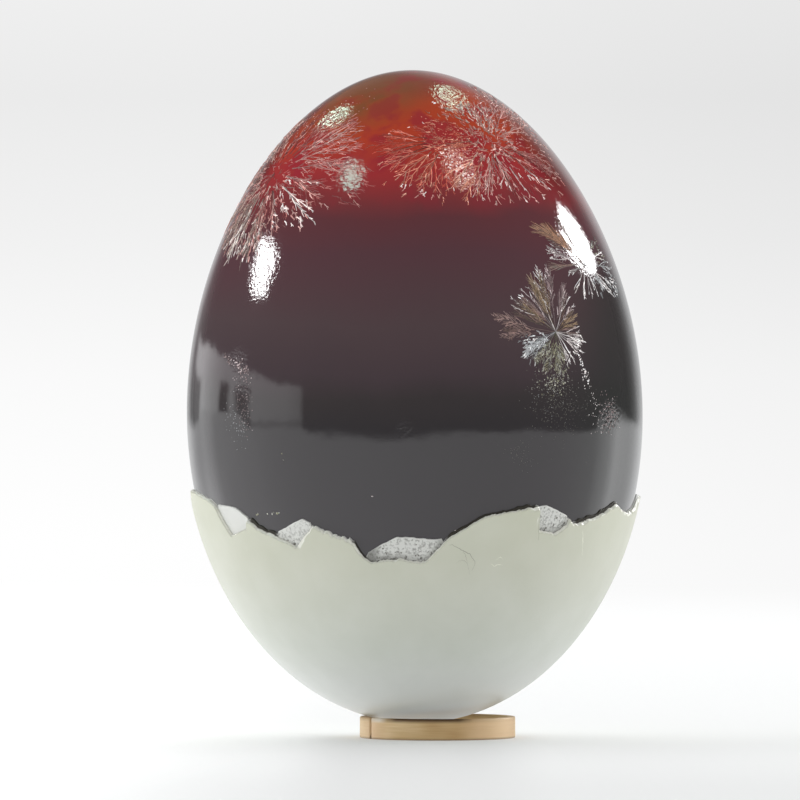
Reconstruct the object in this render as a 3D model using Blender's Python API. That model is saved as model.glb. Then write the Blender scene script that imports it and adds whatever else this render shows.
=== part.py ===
# A half-peeled century egg, standing on its blunt end in a small split ring of pale wood.
#
# Metres, +Z up. The origin is on the surface that the ring stands on, under the middle of the egg.
# Azimuths are in degrees: 0 is the front (-Y), and they grow towards the right (+X).
# Heights on the egg are measured along its axis from the tip of its lower, blunt end.

import math
import random

import bmesh
import bpy
from mathutils import Vector

# The egg in its shell
EGG_LENGTH = 0.0654
EGG_WIDTH = 0.0463
LOWER_END_FULLNESS = 0.066
END_TAPER = 0.030
LEAN = math.radians(0.7)

# Layers, from the outside in. The gaps keep the faceted solids apart.
SHELL_THICKNESS = 0.00030
MEMBRANE_THICKNESS = 0.00008
LAYER_GAP = 0.00007
SHELL_DEPTHS = (0.0, SHELL_THICKNESS)
MEMBRANE_OUTSIDE = SHELL_THICKNESS + LAYER_GAP
MEMBRANE_DEPTHS = (MEMBRANE_OUTSIDE, MEMBRANE_OUTSIDE + MEMBRANE_THICKNESS)
EGG_WHITE_DEPTH = MEMBRANE_DEPTHS[1] + LAYER_GAP

# The split ring
RING_RADIUS = 0.00775
RING_WALL = 0.00075
RING_HEIGHT = 0.0021
RING_CHAMFER = 0.00012
RING_OFFSET_X = 0.0023
RING_SLIT_AZIMUTH = -59.0
RING_SLIT_WIDTH = 0.00035
RING_STEPS = 60

# Mesh density
EGG_COLUMNS = 56
EGG_ROWS = 28
CUP_ROWS = 12
WIDEST_COLUMN = 5.0

# Where the peeling stopped, as corners of (azimuth, height in mm). The front follows the photograph.
FRONT_EDGE = [
    (-81.4, 23.5), (-69.3, 22.8), (-63.3, 22.0), (-54.2, 21.8), (-49.7, 20.7), (-46.1, 19.8), (-41.1, 19.1),
    (-30.8, 20.6), (-22.6, 19.2), (-17.5, 18.7), (-14.5, 17.0), (-5.2, 18.7), (7.7, 18.5), (18.4, 20.8),
    (35.8, 21.7), (39.9, 21.1), (46.1, 19.8), (57.7, 20.8), (63.8, 21.6), (67.8, 21.0), (72.9, 20.6), (81.4, 21.2),
]
BACK_EDGE_ENDS = (88.0, 272.0)
BACK_EDGE_STEP = (6.0, 11.0)
BACK_EDGE_HEIGHTS = (19.4, 23.4)
EDGE_JAG_MM = 0.12
EDGE_SEED = 11

# Flakes of shell that are gone from the edge, by the lower outline that each one left. The membrane shows there.
FLAKES = [
    [(-63.3, 22.0), (-60.6, 20.4), (-57.9, 19.0), (-50.0, 19.8), (-49.5, 20.6)],
    [(-41.1, 19.1), (-37.0, 18.5), (-33.8, 17.9), (-30.2, 19.2), (-27.0, 20.0)],
    [(-14.5, 17.0), (-12.4, 16.4), (-4.2, 16.7), (2.5, 16.4), (4.6, 17.1), (8.6, 18.7)],
    [(33.4, 21.6), (34.0, 19.3), (39.5, 19.0), (43.3, 19.7), (43.8, 20.3)],
]
BACK_FLAKES = [(118.0, 17.0, 2.6), (196.0, 12.0, 1.8), (241.0, 19.0, 2.9)]  # middle, width, depth in mm


def egg_point(angle, azimuth, depth):
    """A point `depth` under the egg's surface. `angle` runs from 0 at the lower tip to pi at the top."""
    sine, cosine = math.sin(angle), math.cos(angle)
    swell = 1 + LOWER_END_FULLNESS * cosine - END_TAPER * cosine ** 2
    swell_change = (2 * END_TAPER * cosine - LOWER_END_FULLNESS) * sine
    radius = EGG_WIDTH / 2 * sine * swell
    height = -EGG_LENGTH / 2 * cosine
    slope = Vector((
        EGG_WIDTH / 2 * (cosine * swell + sine * swell_change),
        EGG_LENGTH / 2 * sine,
    )).normalized()
    radius -= depth * slope.y
    height += depth * slope.x
    turn = math.radians(azimuth)
    return Vector((radius * math.sin(turn), -radius * math.cos(turn), height))


def angle_at(height_mm):
    """The profile angle at a height above the lower tip."""
    return math.acos(1 - height_mm * 0.001 / (EGG_LENGTH / 2))


def tip_height():
    """How high the lower tip hangs inside the ring when the egg rests on the ring's nearest edge."""
    tip_x = EGG_LENGTH / 2 * math.sin(LEAN)
    reach = RING_RADIUS - RING_WALL + RING_CHAMFER - (RING_OFFSET_X - tip_x)
    angle = 0.0
    while egg_point(angle, 90.0, 0.0).x < reach:
        angle += 0.001
    rise = egg_point(angle, 90.0, 0.0).z + EGG_LENGTH / 2
    return RING_HEIGHT + LAYER_GAP - rise + reach * math.sin(LEAN)


def back_edge():
    """The far side of the broken edge: a seeded zigzag that joins the front's two ends."""
    draw = random.Random(EDGE_SEED)
    corners = []
    azimuth = BACK_EDGE_ENDS[0]
    high = True
    while azimuth < BACK_EDGE_ENDS[1]:
        low_limit, high_limit = BACK_EDGE_HEIGHTS
        middle = (low_limit + high_limit) / 2
        height = draw.uniform(middle, high_limit) if high else draw.uniform(low_limit, middle)
        corners.append((azimuth, height))
        azimuth += draw.uniform(*BACK_EDGE_STEP)
        high = not high
    return corners


def height_on(corners, azimuth):
    """The height of a closed zigzag at an azimuth."""
    turned = [(a + 360 * lap, h) for lap in (-1, 0, 1) for a, h in corners]
    for (low, start), (high, end) in zip(turned, turned[1:]):
        if low <= azimuth <= high:
            return start + (end - start) * (azimuth - low) / (high - low)
    raise ValueError(f"no edge at azimuth {azimuth}")


def back_flake(corners, middle, width, depth):
    """A lost flake's lower outline on the far side: a lopsided notch below the edge."""
    shape = [(-0.5, 0.0), (-0.42, 0.75), (-0.08, 1.0), (0.3, 0.7), (0.5, 0.0)]
    return [
        (middle + share * width, height_on(corners, middle + share * width) - drop * depth)
        for share, drop in shape
    ]


def with_flakes(corners, flakes):
    """The edge with each flake's outline in place of the stretch that it covers."""
    for flake in flakes:
        start, end = flake[0][0], flake[-1][0]
        corners = [c for c in corners if not start <= c[0] <= end] + flake
    return sorted(corners)


def columns_of(corners):
    """The corners, with points between those that lie far apart, a little off the straight line."""
    draw = random.Random(EDGE_SEED)
    columns = []
    for (start, low), (end, high) in zip(corners, corners[1:] + [(corners[0][0] + 360, corners[0][1])]):
        pieces = max(1, math.ceil((end - start) / WIDEST_COLUMN))
        for i in range(pieces):
            share = i / pieces
            jag = draw.uniform(-EDGE_JAG_MM, EDGE_JAG_MM) if i else 0.0
            columns.append((start + (end - start) * share, low + (high - low) * share + jag))
    return columns


def material(name, colour, roughness, coat=0.0):
    made = bpy.data.materials.new(name)
    made.use_nodes = True
    shader = made.node_tree.nodes["Principled BSDF"]
    shader.inputs["Base Color"].default_value = (*colour, 1.0)
    shader.inputs["Roughness"].default_value = roughness
    shader.inputs["Metallic"].default_value = 0.0
    shader.inputs["Coat Weight"].default_value = coat
    made.diffuse_color = (*colour, 1.0)
    return made


def add_object(name, mesh_builder, surface, sharp_angle, parent=None, location=(0, 0, 0)):
    """Turns a bmesh into a shaded object with outward faces."""
    bmesh.ops.recalc_face_normals(mesh_builder, faces=mesh_builder.faces)
    mesh = bpy.data.meshes.new(name)
    mesh_builder.to_mesh(mesh)
    mesh_builder.free()
    mesh.materials.append(surface)
    mesh.shade_smooth()
    mesh.set_sharp_from_angle(angle=math.radians(sharp_angle))
    made = bpy.data.objects.new(name, mesh)
    made.location = location
    made.parent = parent
    bpy.context.collection.objects.link(made)
    return made


def bridge(built, lower, upper):
    """Quads between two closed rows of vertices."""
    count = len(lower)
    for i in range(count):
        j = (i + 1) % count
        built.faces.new((lower[i], lower[j], upper[j], upper[i]))


def fan(built, tip, row):
    """Triangles between a row and the pole that it surrounds."""
    count = len(row)
    for i in range(count):
        built.faces.new((tip, row[i], row[(i + 1) % count]))


def make_egg_white(axis):
    """The whole peeled egg: firm dark jelly, which also fills the shell."""
    built = bmesh.new()
    azimuths = [360 * i / EGG_COLUMNS for i in range(EGG_COLUMNS)]
    rows = [
        [built.verts.new(egg_point(math.pi * row / EGG_ROWS, a, EGG_WHITE_DEPTH)) for a in azimuths]
        for row in range(1, EGG_ROWS)
    ]
    for lower, upper in zip(rows, rows[1:]):
        bridge(built, lower, upper)
    fan(built, built.verts.new(egg_point(0.0, 0.0, EGG_WHITE_DEPTH)), rows[0])
    fan(built, built.verts.new(egg_point(math.pi, 0.0, EGG_WHITE_DEPTH)), rows[-1])
    surface = material("dark_egg_jelly", (0.075, 0.022, 0.022), 0.12, coat=1.0)
    return add_object("egg_white", built, surface, 60, axis)


def make_cup(name, corners, depths, surface, axis):
    """A thin layer that wraps the lower egg up to a broken edge. Its edge stands square to the surface."""
    columns = columns_of(corners)
    built = bmesh.new()
    walls = []
    for depth in depths:
        walls.append([
            [
                built.verts.new(egg_point(angle_at(height) * row / CUP_ROWS, azimuth, depth))
                for azimuth, height in columns
            ]
            for row in range(1, CUP_ROWS + 1)
        ])
    for wall, depth in zip(walls, depths):
        for lower, upper in zip(wall, wall[1:]):
            bridge(built, lower, upper)
        fan(built, built.verts.new(egg_point(0.0, 0.0, depth)), wall[0])
    bridge(built, walls[0][-1], walls[1][-1])
    return add_object(name, built, surface, 40, axis)


def make_ring():
    """A flat strip bent round to a hoop, with a narrow slit where its ends meet."""
    outer, inner = RING_RADIUS, RING_RADIUS - RING_WALL
    chamfer, height = RING_CHAMFER, RING_HEIGHT
    section = [
        (inner + chamfer, 0.0), (outer - chamfer, 0.0), (outer, chamfer), (outer, height - chamfer),
        (outer - chamfer, height), (inner + chamfer, height), (inner, height - chamfer), (inner, chamfer),
    ]
    half_slit = math.degrees(RING_SLIT_WIDTH / 2 / ((outer + inner) / 2))
    sweep = 360 - 2 * half_slit
    built = bmesh.new()
    sections = []
    for step in range(RING_STEPS + 1):
        turn = math.radians(RING_SLIT_AZIMUTH + half_slit + sweep * step / RING_STEPS)
        sections.append([built.verts.new((r * math.sin(turn), -r * math.cos(turn), z)) for r, z in section])
    for before, after in zip(sections, sections[1:]):
        bridge(built, before, after)
    built.faces.new(sections[0])
    built.faces.new(sections[-1])
    surface = material("pale_split_wood", (0.56, 0.40, 0.20), 0.55)
    return add_object("wood_ring", built, surface, 30, location=(RING_OFFSET_X, 0, 0))


def main():
    for old in list(bpy.data.objects):
        bpy.data.objects.remove(old)

    axis = bpy.data.objects.new("egg_axis", None)
    axis.location = (0, 0, tip_height() + EGG_LENGTH / 2)
    axis.rotation_euler = (0, -LEAN, 0)
    bpy.context.collection.objects.link(axis)

    peeled_edge = FRONT_EDGE + back_edge()
    flakes = FLAKES + [back_flake(peeled_edge, *flake) for flake in BACK_FLAKES]
    shell_edge = with_flakes(peeled_edge, flakes)

    make_egg_white(axis)
    membrane_surface = material("shell_membrane", (0.70, 0.70, 0.67), 0.7)
    make_cup("shell_membrane", peeled_edge, MEMBRANE_DEPTHS, membrane_surface, axis)
    shell_surface = material("duck_eggshell", (0.56, 0.59, 0.50), 0.45)
    make_cup("eggshell", shell_edge, SHELL_DEPTHS, shell_surface, axis)
    make_ring()


main()
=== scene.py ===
import math
import random

import bmesh
import bpy
import numpy as np
from mathutils import Matrix, Vector


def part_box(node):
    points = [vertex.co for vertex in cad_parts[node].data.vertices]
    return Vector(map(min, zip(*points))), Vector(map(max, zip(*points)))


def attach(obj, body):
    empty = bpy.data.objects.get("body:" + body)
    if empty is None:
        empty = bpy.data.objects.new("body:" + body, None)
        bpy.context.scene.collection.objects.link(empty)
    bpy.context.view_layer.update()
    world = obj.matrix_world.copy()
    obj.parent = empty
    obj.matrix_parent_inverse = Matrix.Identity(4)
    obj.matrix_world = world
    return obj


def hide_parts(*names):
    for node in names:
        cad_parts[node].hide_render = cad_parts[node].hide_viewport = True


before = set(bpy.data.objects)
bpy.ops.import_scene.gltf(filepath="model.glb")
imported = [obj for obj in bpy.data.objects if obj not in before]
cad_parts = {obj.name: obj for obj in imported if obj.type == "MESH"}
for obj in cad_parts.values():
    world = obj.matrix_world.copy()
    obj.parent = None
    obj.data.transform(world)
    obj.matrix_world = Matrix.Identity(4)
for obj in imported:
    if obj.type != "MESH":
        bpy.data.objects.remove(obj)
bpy.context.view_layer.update()        # one body, root, with the nodes egg_white, shell_membrane, eggshell and wood_ring
scene = bpy.context.scene
mm = 0.001

# The egg's own shape, as its solids have it: blunt end down, the top leaning a little to the left.
# Azimuths are in degrees from the front (-Y) towards the right (+X). Heights are in mm over the lower tip.
# Depths are in mm under the shell's outside.
egg = {
    "length": 65.4,
    "width": 46.3,
    "lowerEndFullness": 0.066,
    "endTaper": 0.030,
    "lean": 0.7,
    "shellDepths": (0.0, 0.30),
    "membraneDepths": (0.37, 0.54),      # its inner face 0.09 under the solid's, close to the jelly
    "jellyDepth": 0.57,      # 0.05 under the solid's, to leave room for the crystals
}
whiteLow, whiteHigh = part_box("egg_white")
eggCentre = (whiteLow + whiteHigh) / 2
eggTurn = Matrix.Rotation(-math.radians(egg["lean"]), 3, "Y")
perMm = 1 / 30.0             # profile angle for one mm along the egg, near the shell's edge


def linear(hexColour):  # an sRGB hex colour as the linear RGBA that shaders take
    channels = [int(hexColour[i:i + 2], 16) / 255 for i in (1, 3, 5)]
    return [c / 12.92 if c <= 0.04045 else ((c + 0.055) / 1.055) ** 2.4 for c in channels] + [1.0]


def setInputs(tree, node, values):  # a socket, a hex colour or another value for each input
    for key, value in values.items():
        if isinstance(value, bpy.types.NodeSocket):
            tree.links.new(value, node.inputs[key])
        else:
            isColour = isinstance(value, str) and value.startswith("#")
            node.inputs[key].default_value = linear(value) if isColour else value


def addNode(tree, kind, values=None, **settings):  # gives the node's outputs
    node = tree.nodes.new(kind)
    for key, value in settings.items():
        setattr(node, key, value)
    setInputs(tree, node, values or {})
    return node.outputs


def addRamp(tree, share, stops):  # stops are places with a hex colour or a grey level
    colour = addNode(tree, "ShaderNodeValToRGB", {"Fac": share})[0]
    elements = colour.node.color_ramp.elements
    for i, (place, tone) in enumerate(stops):
        element = elements[i] if i < 2 else elements.new(1.0)
        element.position = place
        element.color = linear(tone) if isinstance(tone, str) else [tone] * 3 + [1.0]
    return colour


def addRange(tree, value, low, high):  # a value's share of the way from low to high
    return addNode(tree, "ShaderNodeMapRange", {"Value": value, "From Min": low, "From Max": high})[0]


def addCurve(tree, value, points):  # a number read off a line through (place, height) points
    places, heights = zip(*points)
    first, length = places[0], places[-1] - places[0]
    low, span = min(heights), max(heights) - min(heights)
    shape = addRamp(tree, addRange(tree, value, first, places[-1]), [
        ((place - first) / length, (height - low) / span) for place, height in points])
    return addNode(tree, "ShaderNodeMapRange", {"Value": shape, "To Min": low, "To Max": low + span})[0]


def addMath(tree, operation, *values):
    return addNode(tree, "ShaderNodeMath", dict(enumerate(values)), operation=operation)[0]


def times(tree, first, second):
    return addMath(tree, "MULTIPLY", first, second)


def addVector(tree, operation, first, second=None):
    values = {0: first} if second is None else {0: first, 1: second}
    return addNode(tree, "ShaderNodeVectorMath", values, operation=operation)


def addStep(tree, value, low, high, bottom=0.0, top=1.0):  # a soft step from bottom to top
    return addNode(tree, "ShaderNodeMapRange", {
        "Value": value, "From Min": low, "From Max": high, "To Min": bottom, "To Max": top},
        interpolation_type="SMOOTHSTEP")[0]


def addBlend(tree, share, under, over, kind="MIX"):  # a colour laid over another
    return addNode(tree, "ShaderNodeMix", {0: share, 6: under, 7: over}, data_type="RGBA", blend_type=kind)[2]


def addNoise(tree, place, size, detail):
    return addNode(tree, "ShaderNodeTexNoise", {"Vector": place, "Scale": 1 / size, "Detail": detail})[0]


def addBump(tree, height, strength, distance, **more):
    return addNode(tree, "ShaderNodeBump", {
        "Height": height, "Strength": strength, "Distance": distance, **more})[0]


def addPlace(tree):  # a point's own place, in metres
    return addNode(tree, "ShaderNodeTexCoord")["Object"]


def addParts(tree, vector):  # its X, Y and Z
    return addNode(tree, "ShaderNodeSeparateXYZ", {0: vector})


def fromUpright(tree, place):  # how far a place is from the upright axis
    return addVector(tree, "LENGTH", addVector(tree, "MULTIPLY", place, (1.0, 1.0, 0.0))[0])["Value"]


def readAttribute(tree, name, output="Fac"):
    return addNode(tree, "ShaderNodeAttribute", attribute_name=name)[output]


def newMaterial(name, values):  # values are the shader's own constants
    made = bpy.data.materials.new(name)
    made.use_nodes = True
    shader = made.node_tree.nodes["Principled BSDF"]
    setInputs(made.node_tree, shader, values)
    return made, made.node_tree, shader


def profile(angle, depth=0.0):  # radius, height over the middle and outward normal, in mm; 0 is the lower tip
    sine, cosine = np.sin(angle), np.cos(angle)
    swell = 1 + egg["lowerEndFullness"] * cosine - egg["endTaper"] * cosine ** 2
    swellChange = (2 * egg["endTaper"] * cosine - egg["lowerEndFullness"]) * sine
    outward = egg["length"] / 2 * sine
    upward = -egg["width"] / 2 * (cosine * swell + sine * swellChange)
    size = np.hypot(outward, upward)
    outward, upward = outward / size, upward / size
    radius = egg["width"] / 2 * sine * swell - depth * outward
    return radius, -egg["length"] / 2 * cosine - depth * upward, outward, upward


def angleAt(height):  # the profile angle at a height
    return np.arccos(1 - np.asarray(height) / (egg["length"] / 2))


def onEgg(azimuth, angle, depth=0.0):  # points of the surface, or under it, in the frame
    radius, height, _, _ = profile(angle, depth)
    turn = np.radians(azimuth)
    local = np.stack(np.broadcast_arrays(radius * np.sin(turn), -radius * np.cos(turn), height), axis=-1)
    return local * mm @ np.array(eggTurn).T + np.array(eggCentre)


def axesAt(azimuth, height):  # rightward, upward and outward directions at a point of the egg
    _, _, outward, upward = profile(angleAt(height))
    turn = math.radians(azimuth)
    out = Vector((outward * math.sin(turn), -outward * math.cos(turn), upward))
    right = Vector((math.cos(turn), math.sin(turn), 0))
    return eggTurn @ right, eggTurn @ out.cross(right), eggTurn @ out


def ripple(draw, azimuths, waves):  # seamless noise round the egg; waves are (how many, how high)
    total = np.zeros(len(azimuths))
    for count, height in waves:
        knots = np.array([draw.uniform(-1, 1) for _ in range(count)])
        total += height * np.interp(azimuths * count / 360, np.arange(count + 1), np.append(knots, knots[0]))
    return total


def stretch(azimuths, points):  # a value along a line through (azimuth, value) points, as an array
    return np.interp(azimuths, [a for a, _ in points], [v for _, v in points], period=360)


def meshFrom(name, rings, material, poles=None, attributes=None):  # a closed skin over rings of points
    rings = np.asarray(rings)
    count, around = rings.shape[:2]
    points = rings.reshape(-1, 3)
    lower = np.arange(around)
    upper = np.roll(lower, -1)
    faces = [
        quad for row in range(count - 1)
        for quad in np.stack([lower, upper, upper + around, lower + around], axis=1) + row * around
    ]
    faces = [tuple(int(i) for i in face) for face in faces]
    last = (count - 1) * around
    if poles:        # each end runs to a point
        points = np.vstack([points, *poles])
        faces += [(int(b), int(a), count * around) for a, b in zip(lower, upper)]
        faces += [(int(a) + last, int(b) + last, count * around + 1) for a, b in zip(lower, upper)]
    else:            # each end is one flat face
        faces += [tuple(int(i) for i in lower[::-1]), tuple(int(i) + last for i in lower)]
    mesh = bpy.data.meshes.new(name)
    mesh.from_pydata(points.tolist(), [], faces)
    for key, values in (attributes or {}).items():
        spare = np.zeros(len(points), np.float32)
        spare[:len(values)] = values
        spare[len(values):] = values[-1]
        mesh.attributes.new(key, "FLOAT", "POINT").data.foreach_set("value", spare)
    shape = bmesh.new()
    shape.from_mesh(mesh)
    bmesh.ops.recalc_face_normals(shape, faces=shape.faces)
    shape.to_mesh(mesh)
    shape.free()
    mesh.shade_smooth()
    mesh.materials.append(material)
    piece = bpy.data.objects.new(name, mesh)
    scene.collection.objects.link(piece)
    return piece


def takePlace(piece, node):
    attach(piece, "root")
    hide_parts(node)
    print("  ", piece.name, len(piece.data.polygons), "faces")


# How a cup's outer face is told from its other points. The box's middle lies 0.03 mm beside the egg's axis,
# and a cup's inner side is 0.08 mm or more further in.
edgeReading = {
    "offFace": 0.04,         # mm from where the outer face should be
    "fromAxis": 6,           # mm, because the tip's points have no clear azimuth
    "columnGap": 0.2,        # degrees between one column of points and the next
}


def brokenEdge(node, depth):  # a cup's edge, azimuth and profile angle at each corner, read off its solid
    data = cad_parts[node].data
    points = np.zeros(len(data.vertices) * 3, np.float32)
    data.vertices.foreach_get("co", points)
    local = (points.reshape(-1, 3) - np.array(eggCentre)) @ np.array(eggTurn) / mm
    angles = np.linspace(0.01, 2.0, 4000)
    radii, heights, _, _ = profile(angles, depth)
    angle = np.interp(local[:, 2], heights, angles)
    radius = np.hypot(local[:, 0], local[:, 1])
    offFace = abs(radius - np.interp(local[:, 2], heights, radii))
    outer = (offFace < edgeReading["offFace"]) & (radius > edgeReading["fromAxis"])
    azimuth = np.degrees(np.arctan2(local[outer, 0], -local[outer, 1])) % 360
    order = np.argsort(azimuth)
    azimuth, angle = azimuth[order], angle[outer][order]
    starts = np.flatnonzero(np.diff(azimuth) > edgeReading["columnGap"]) + 1
    columns = np.split(np.arange(len(azimuth)), starts)
    return np.array([azimuth[c].mean() for c in columns]), np.array([angle[c].max() for c in columns])


print("Camera")
camera = {
    "distance": 1000,        # mm from the egg's middle
    "elevation": 0.4,
    "frameWidth": 79.44,     # mm across the frame at the egg's middle
    "eggRight": 1.44,        # mm that the egg's middle lies right of the frame's and above it
    "eggAbove": 0.63,
}
sight = math.radians(camera["elevation"])
eye = eggCentre + camera["distance"] * mm * Vector((0, -math.cos(sight), math.sin(sight)))
aim = eggCentre - Vector((camera["eggRight"], 0, camera["eggAbove"])) * mm
lens = bpy.data.cameras.new("camera")
lens.sensor_width = 36
lens.lens = lens.sensor_width * camera["distance"] / camera["frameWidth"]
lens.clip_start, lens.clip_end = 0.01, 20
cameraObject = bpy.data.objects.new("camera", lens)
cameraObject.location = eye
cameraObject.rotation_euler = (aim - eye).to_track_quat("-Z", "Y").to_euler()
scene.collection.objects.link(cameraObject)
scene.camera = cameraObject
scene.view_settings.view_transform = "Standard"


print("Studio")
studio = {
    "paperColour": "#e6e7e7",
    "paperGlow": 0.03,           # light that the white paper adds of its own
    "paperGlowLeft": 0.35,       # and how much more on the left, where a window lights it
    "paperGlowBeside": 0.16,     # and beside and behind the ring, where light comes under the egg
    "skyColour": "#ffffff",
    "tableTint": "#fafbfc",
    "skyLevel": 0.78,            # diffuse light from all round
    "skyBehind": 0.52,           # how much more of it comes from behind, and less from the front
    # wall brightness by height, in mm, as the camera sees it behind the egg, and how much less on the right
    "wallTones": [
        (0, "#ffffff"), (30, "#fafafa"), (60, "#f1f1f1"), (90, "#ebebeb"), (125, "#f1f1f1"),
        (400, "#ffffff")],
    "wallRight": 0.93,
    # metres that the floor runs flat, the radius of its rim's bend in metres, and how many sides it has
    "floorFlat": 0.85,
    "floorBend": 0.6,
    "floorSides": 96,
    "cardDistance": 0.45,        # metres from a highlight to its card
    "cardRim": (0.82, 1.08),     # a card's light fades between these shares of its outline
}
# What the wet jelly mirrors, by direction: degrees round from the front towards the right, then a value.
mirrored = {
    # how high the edge of the pale table stands, in degrees over level
    "tableEdge": [
        (-180, -0.5), (-158, -1.1), (-150, -1.6), (-142, -1.3), (-136, -0.2), (-112, -0.4), (-99, -0.6),
        (-93, -3.2), (-62, -3.5), (-54, -4.6), (-43, -5.6), (-30, -6.0), (-15, -6.8), (0, -6.2),
        (13, -5.4), (28, -4.7), (43, -4.4), (60, -3.9), (78, -3.5), (92, -3.3), (104, -2.6), (109, -0.7),
        (122, -0.4), (137, -0.9), (150, -1.1), (180, -0.5)],
    "tableSoftness": [
        (-180, 0.5), (-93, 0.4), (-55, 0.7), (-45, 1.8), (15, 1.6), (27, 0.6), (92, 0.6), (105, 0.6),
        (112, 1.2), (125, 1.4), (140, 0.5), (180, 0.5)],
    "tableLight": [
        (-180, 0.75), (-170, 0.9), (-165, 1.0), (-159, 1.1), (-150, 1.05), (-143, 1.08), (-136, 1.55),
        (-128, 1.6), (-121, 1.35), (-115, 1.5), (-105, 1.75), (-90, 1.95), (-60, 1.75), (-20, 1.6),
        (0, 1.5), (34, 1.4), (78, 1.32), (104, 1.3), (110, 1.7), (117, 1.95), (124, 2.6), (131, 1.95),
        (138, 1.45), (145, 1.25), (159, 1.2), (166, 1.0), (171, 0.9), (180, 0.75)],
    # a bright window beyond the table, on the left
    "windowTop": [
        (-180, 3.2), (-145, 5.1), (-136, 6.5), (-122, 7.4), (-100, 7.5), (-86, 6.7), (-70, 6.0),
        (-58, 5.7), (180, 5.0)],
    "windowLight": [
        (-180, 0.0), (-158, 0.1), (-153, 0.5), (-149, 1.2), (-145, 1.55), (-137, 1.9), (-128, 1.85),
        (-122, 1.7), (-112, 1.6), (-105, 1.85), (-86, 1.95), (-69, 1.95), (-60.5, 1.5), (-57.5, 0.0),
        (180, 0.0)],
    # its dark bars, and how high they reach
    "windowBars": [
        (-180, 0.0), (-154, 0.0), (-151.5, 0.72), (-142, 0.7), (-139, 0.15), (-136, 0.0), (-119.5, 0.0),
        (-115.5, 0.95), (-110.5, 0.95), (-107, 0.0), (-105, 0.0), (-101, 0.95), (-94.5, 0.95), (-91, 0.0),
        (180, 0.0)],
    "barTop": [(-180, 2.4), (-141, 2.4), (-134, 4.0), (180, 4.0)],
    # the bright room behind the egg
    "roomLight": [
        (-180, 0.66), (-167, 0.75), (-161, 0.62), (-156, 0.3), (-150, 0.18), (-138, 0.04), (-90, 0.018),
        (90, 0.018), (138, 0.04), (144, 0.16), (150, 0.4), (156, 0.72), (163, 0.84), (180, 0.66)],
    "roomDark": 0.018,
    # how strong that room is by degrees over level, on either side
    "roomFadeLeft": [(-90, 1.0), (7, 1.0), (13, 0.5), (20, 0.3), (60, 0.15), (90, 0.02)],
    "roomFadeRight": [(-90, 1.0), (20, 1.0), (31, 0.7), (42, 0.3), (60, 0.15), (90, 0.02)],
    # how much brighter the table is close by, on the left
    "tableNear": [(-180, 0.6), (-150, 0.6), (-130, 0.3), (-112, 0.0), (180, 0.0)],
    # how much the outlines waver by direction, and the degrees that this spans up and down, and sideways
    "uneven": [(-180, 0.1), (-137, 0.1), (-122, 1.0), (180, 1.0)],
    "waver": 2.2,
    "waverAside": 9.0,
}


def stageMesh(name, points, faces, material, **sees):
    mesh = bpy.data.meshes.new(name)
    mesh.from_pydata(points, [], faces)
    mesh.materials.append(material)
    made = bpy.data.objects.new(name, mesh)
    for ray, isSeen in sees.items():
        setattr(made, "visible_" + ray, isSeen)
    scene.collection.objects.link(made)
    return made


def makePaperMaterial():
    # White studio paper, matt. It glows a little where the photograph's table is brighter than its own light
    # makes it, and further out it turns into the bright wall that the camera sees.
    made, tree, shader = newMaterial("paleStudioPaper", {
        "Roughness": 0.9, "Specular IOR Level": 0.1, "Base Color": studio["paperColour"],
        "Emission Color": studio["paperColour"]})
    place = addPlace(tree)
    x, y, z = addParts(tree, place)
    least = studio["paperGlow"]
    glowLeft = addStep(tree, x, -45 * mm, -5 * mm, least + studio["paperGlowLeft"], least)
    beside = addMath(tree, "MAXIMUM", addStep(tree, addMath(tree, "ABSOLUTE", x), 5 * mm, 14 * mm),
                     addStep(tree, y, -6 * mm, 14 * mm))
    beside = times(tree, beside, addStep(tree, y, -120 * mm, -30 * mm, 0.35, 1.0))
    glow = addMath(tree, "MULTIPLY_ADD", beside, studio["paperGlowBeside"], glowLeft)
    setInputs(tree, shader, {"Emission Strength": glow})
    wallTop = studio["wallTones"][-1][0]
    tone = addRamp(tree, addRange(tree, z, 0.0, wallTop * mm), [
        (height / wallTop, tone) for height, tone in studio["wallTones"]])
    dim = addStep(tree, x, -60 * mm, 100 * mm, 1.0, studio["wallRight"])
    wall = addNode(tree, "ShaderNodeEmission", {"Color": tone, "Strength": dim})[0]
    isWall = addStep(tree, fromUpright(tree, place), 0.25, 0.60)
    both = addNode(tree, "ShaderNodeMixShader", {0: isWall, 1: shader.outputs[0], 2: wall})[0]
    setInputs(tree, tree.nodes["Material Output"], {"Surface": both})
    return made


# The floor rises at its far rim into a round white wall, so that no edge shows from any side.
flat, bend, sides = studio["floorFlat"], studio["floorBend"], studio["floorSides"]
bowlLine = [(0.2, 0.0), (0.5, 0.0), (flat, 0.0)]
turns = np.linspace(0.1, math.pi / 2, 12)
bowlLine += [(flat + bend * math.sin(a), bend - bend * math.cos(a)) for a in turns]
bowlPoints = [
    (r * math.cos(a), r * math.sin(a), z)
    for r, z in bowlLine for a in np.linspace(0, 2 * math.pi, sides + 1)[:-1]]
bowlFaces = [
    (i * sides + j, i * sides + (j + 1) % sides, (i + 1) * sides + (j + 1) % sides, (i + 1) * sides + j)
    for i in range(len(bowlLine) - 1) for j in range(sides)]
bowlFaces += [(j, len(bowlPoints), (j + 1) % sides) for j in range(sides)]
floor = stageMesh("studioFloor", bowlPoints + [(0, 0, 0)], bowlFaces, makePaperMaterial(), glossy=False)
for face in floor.data.polygons:
    face.use_smooth = True


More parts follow.
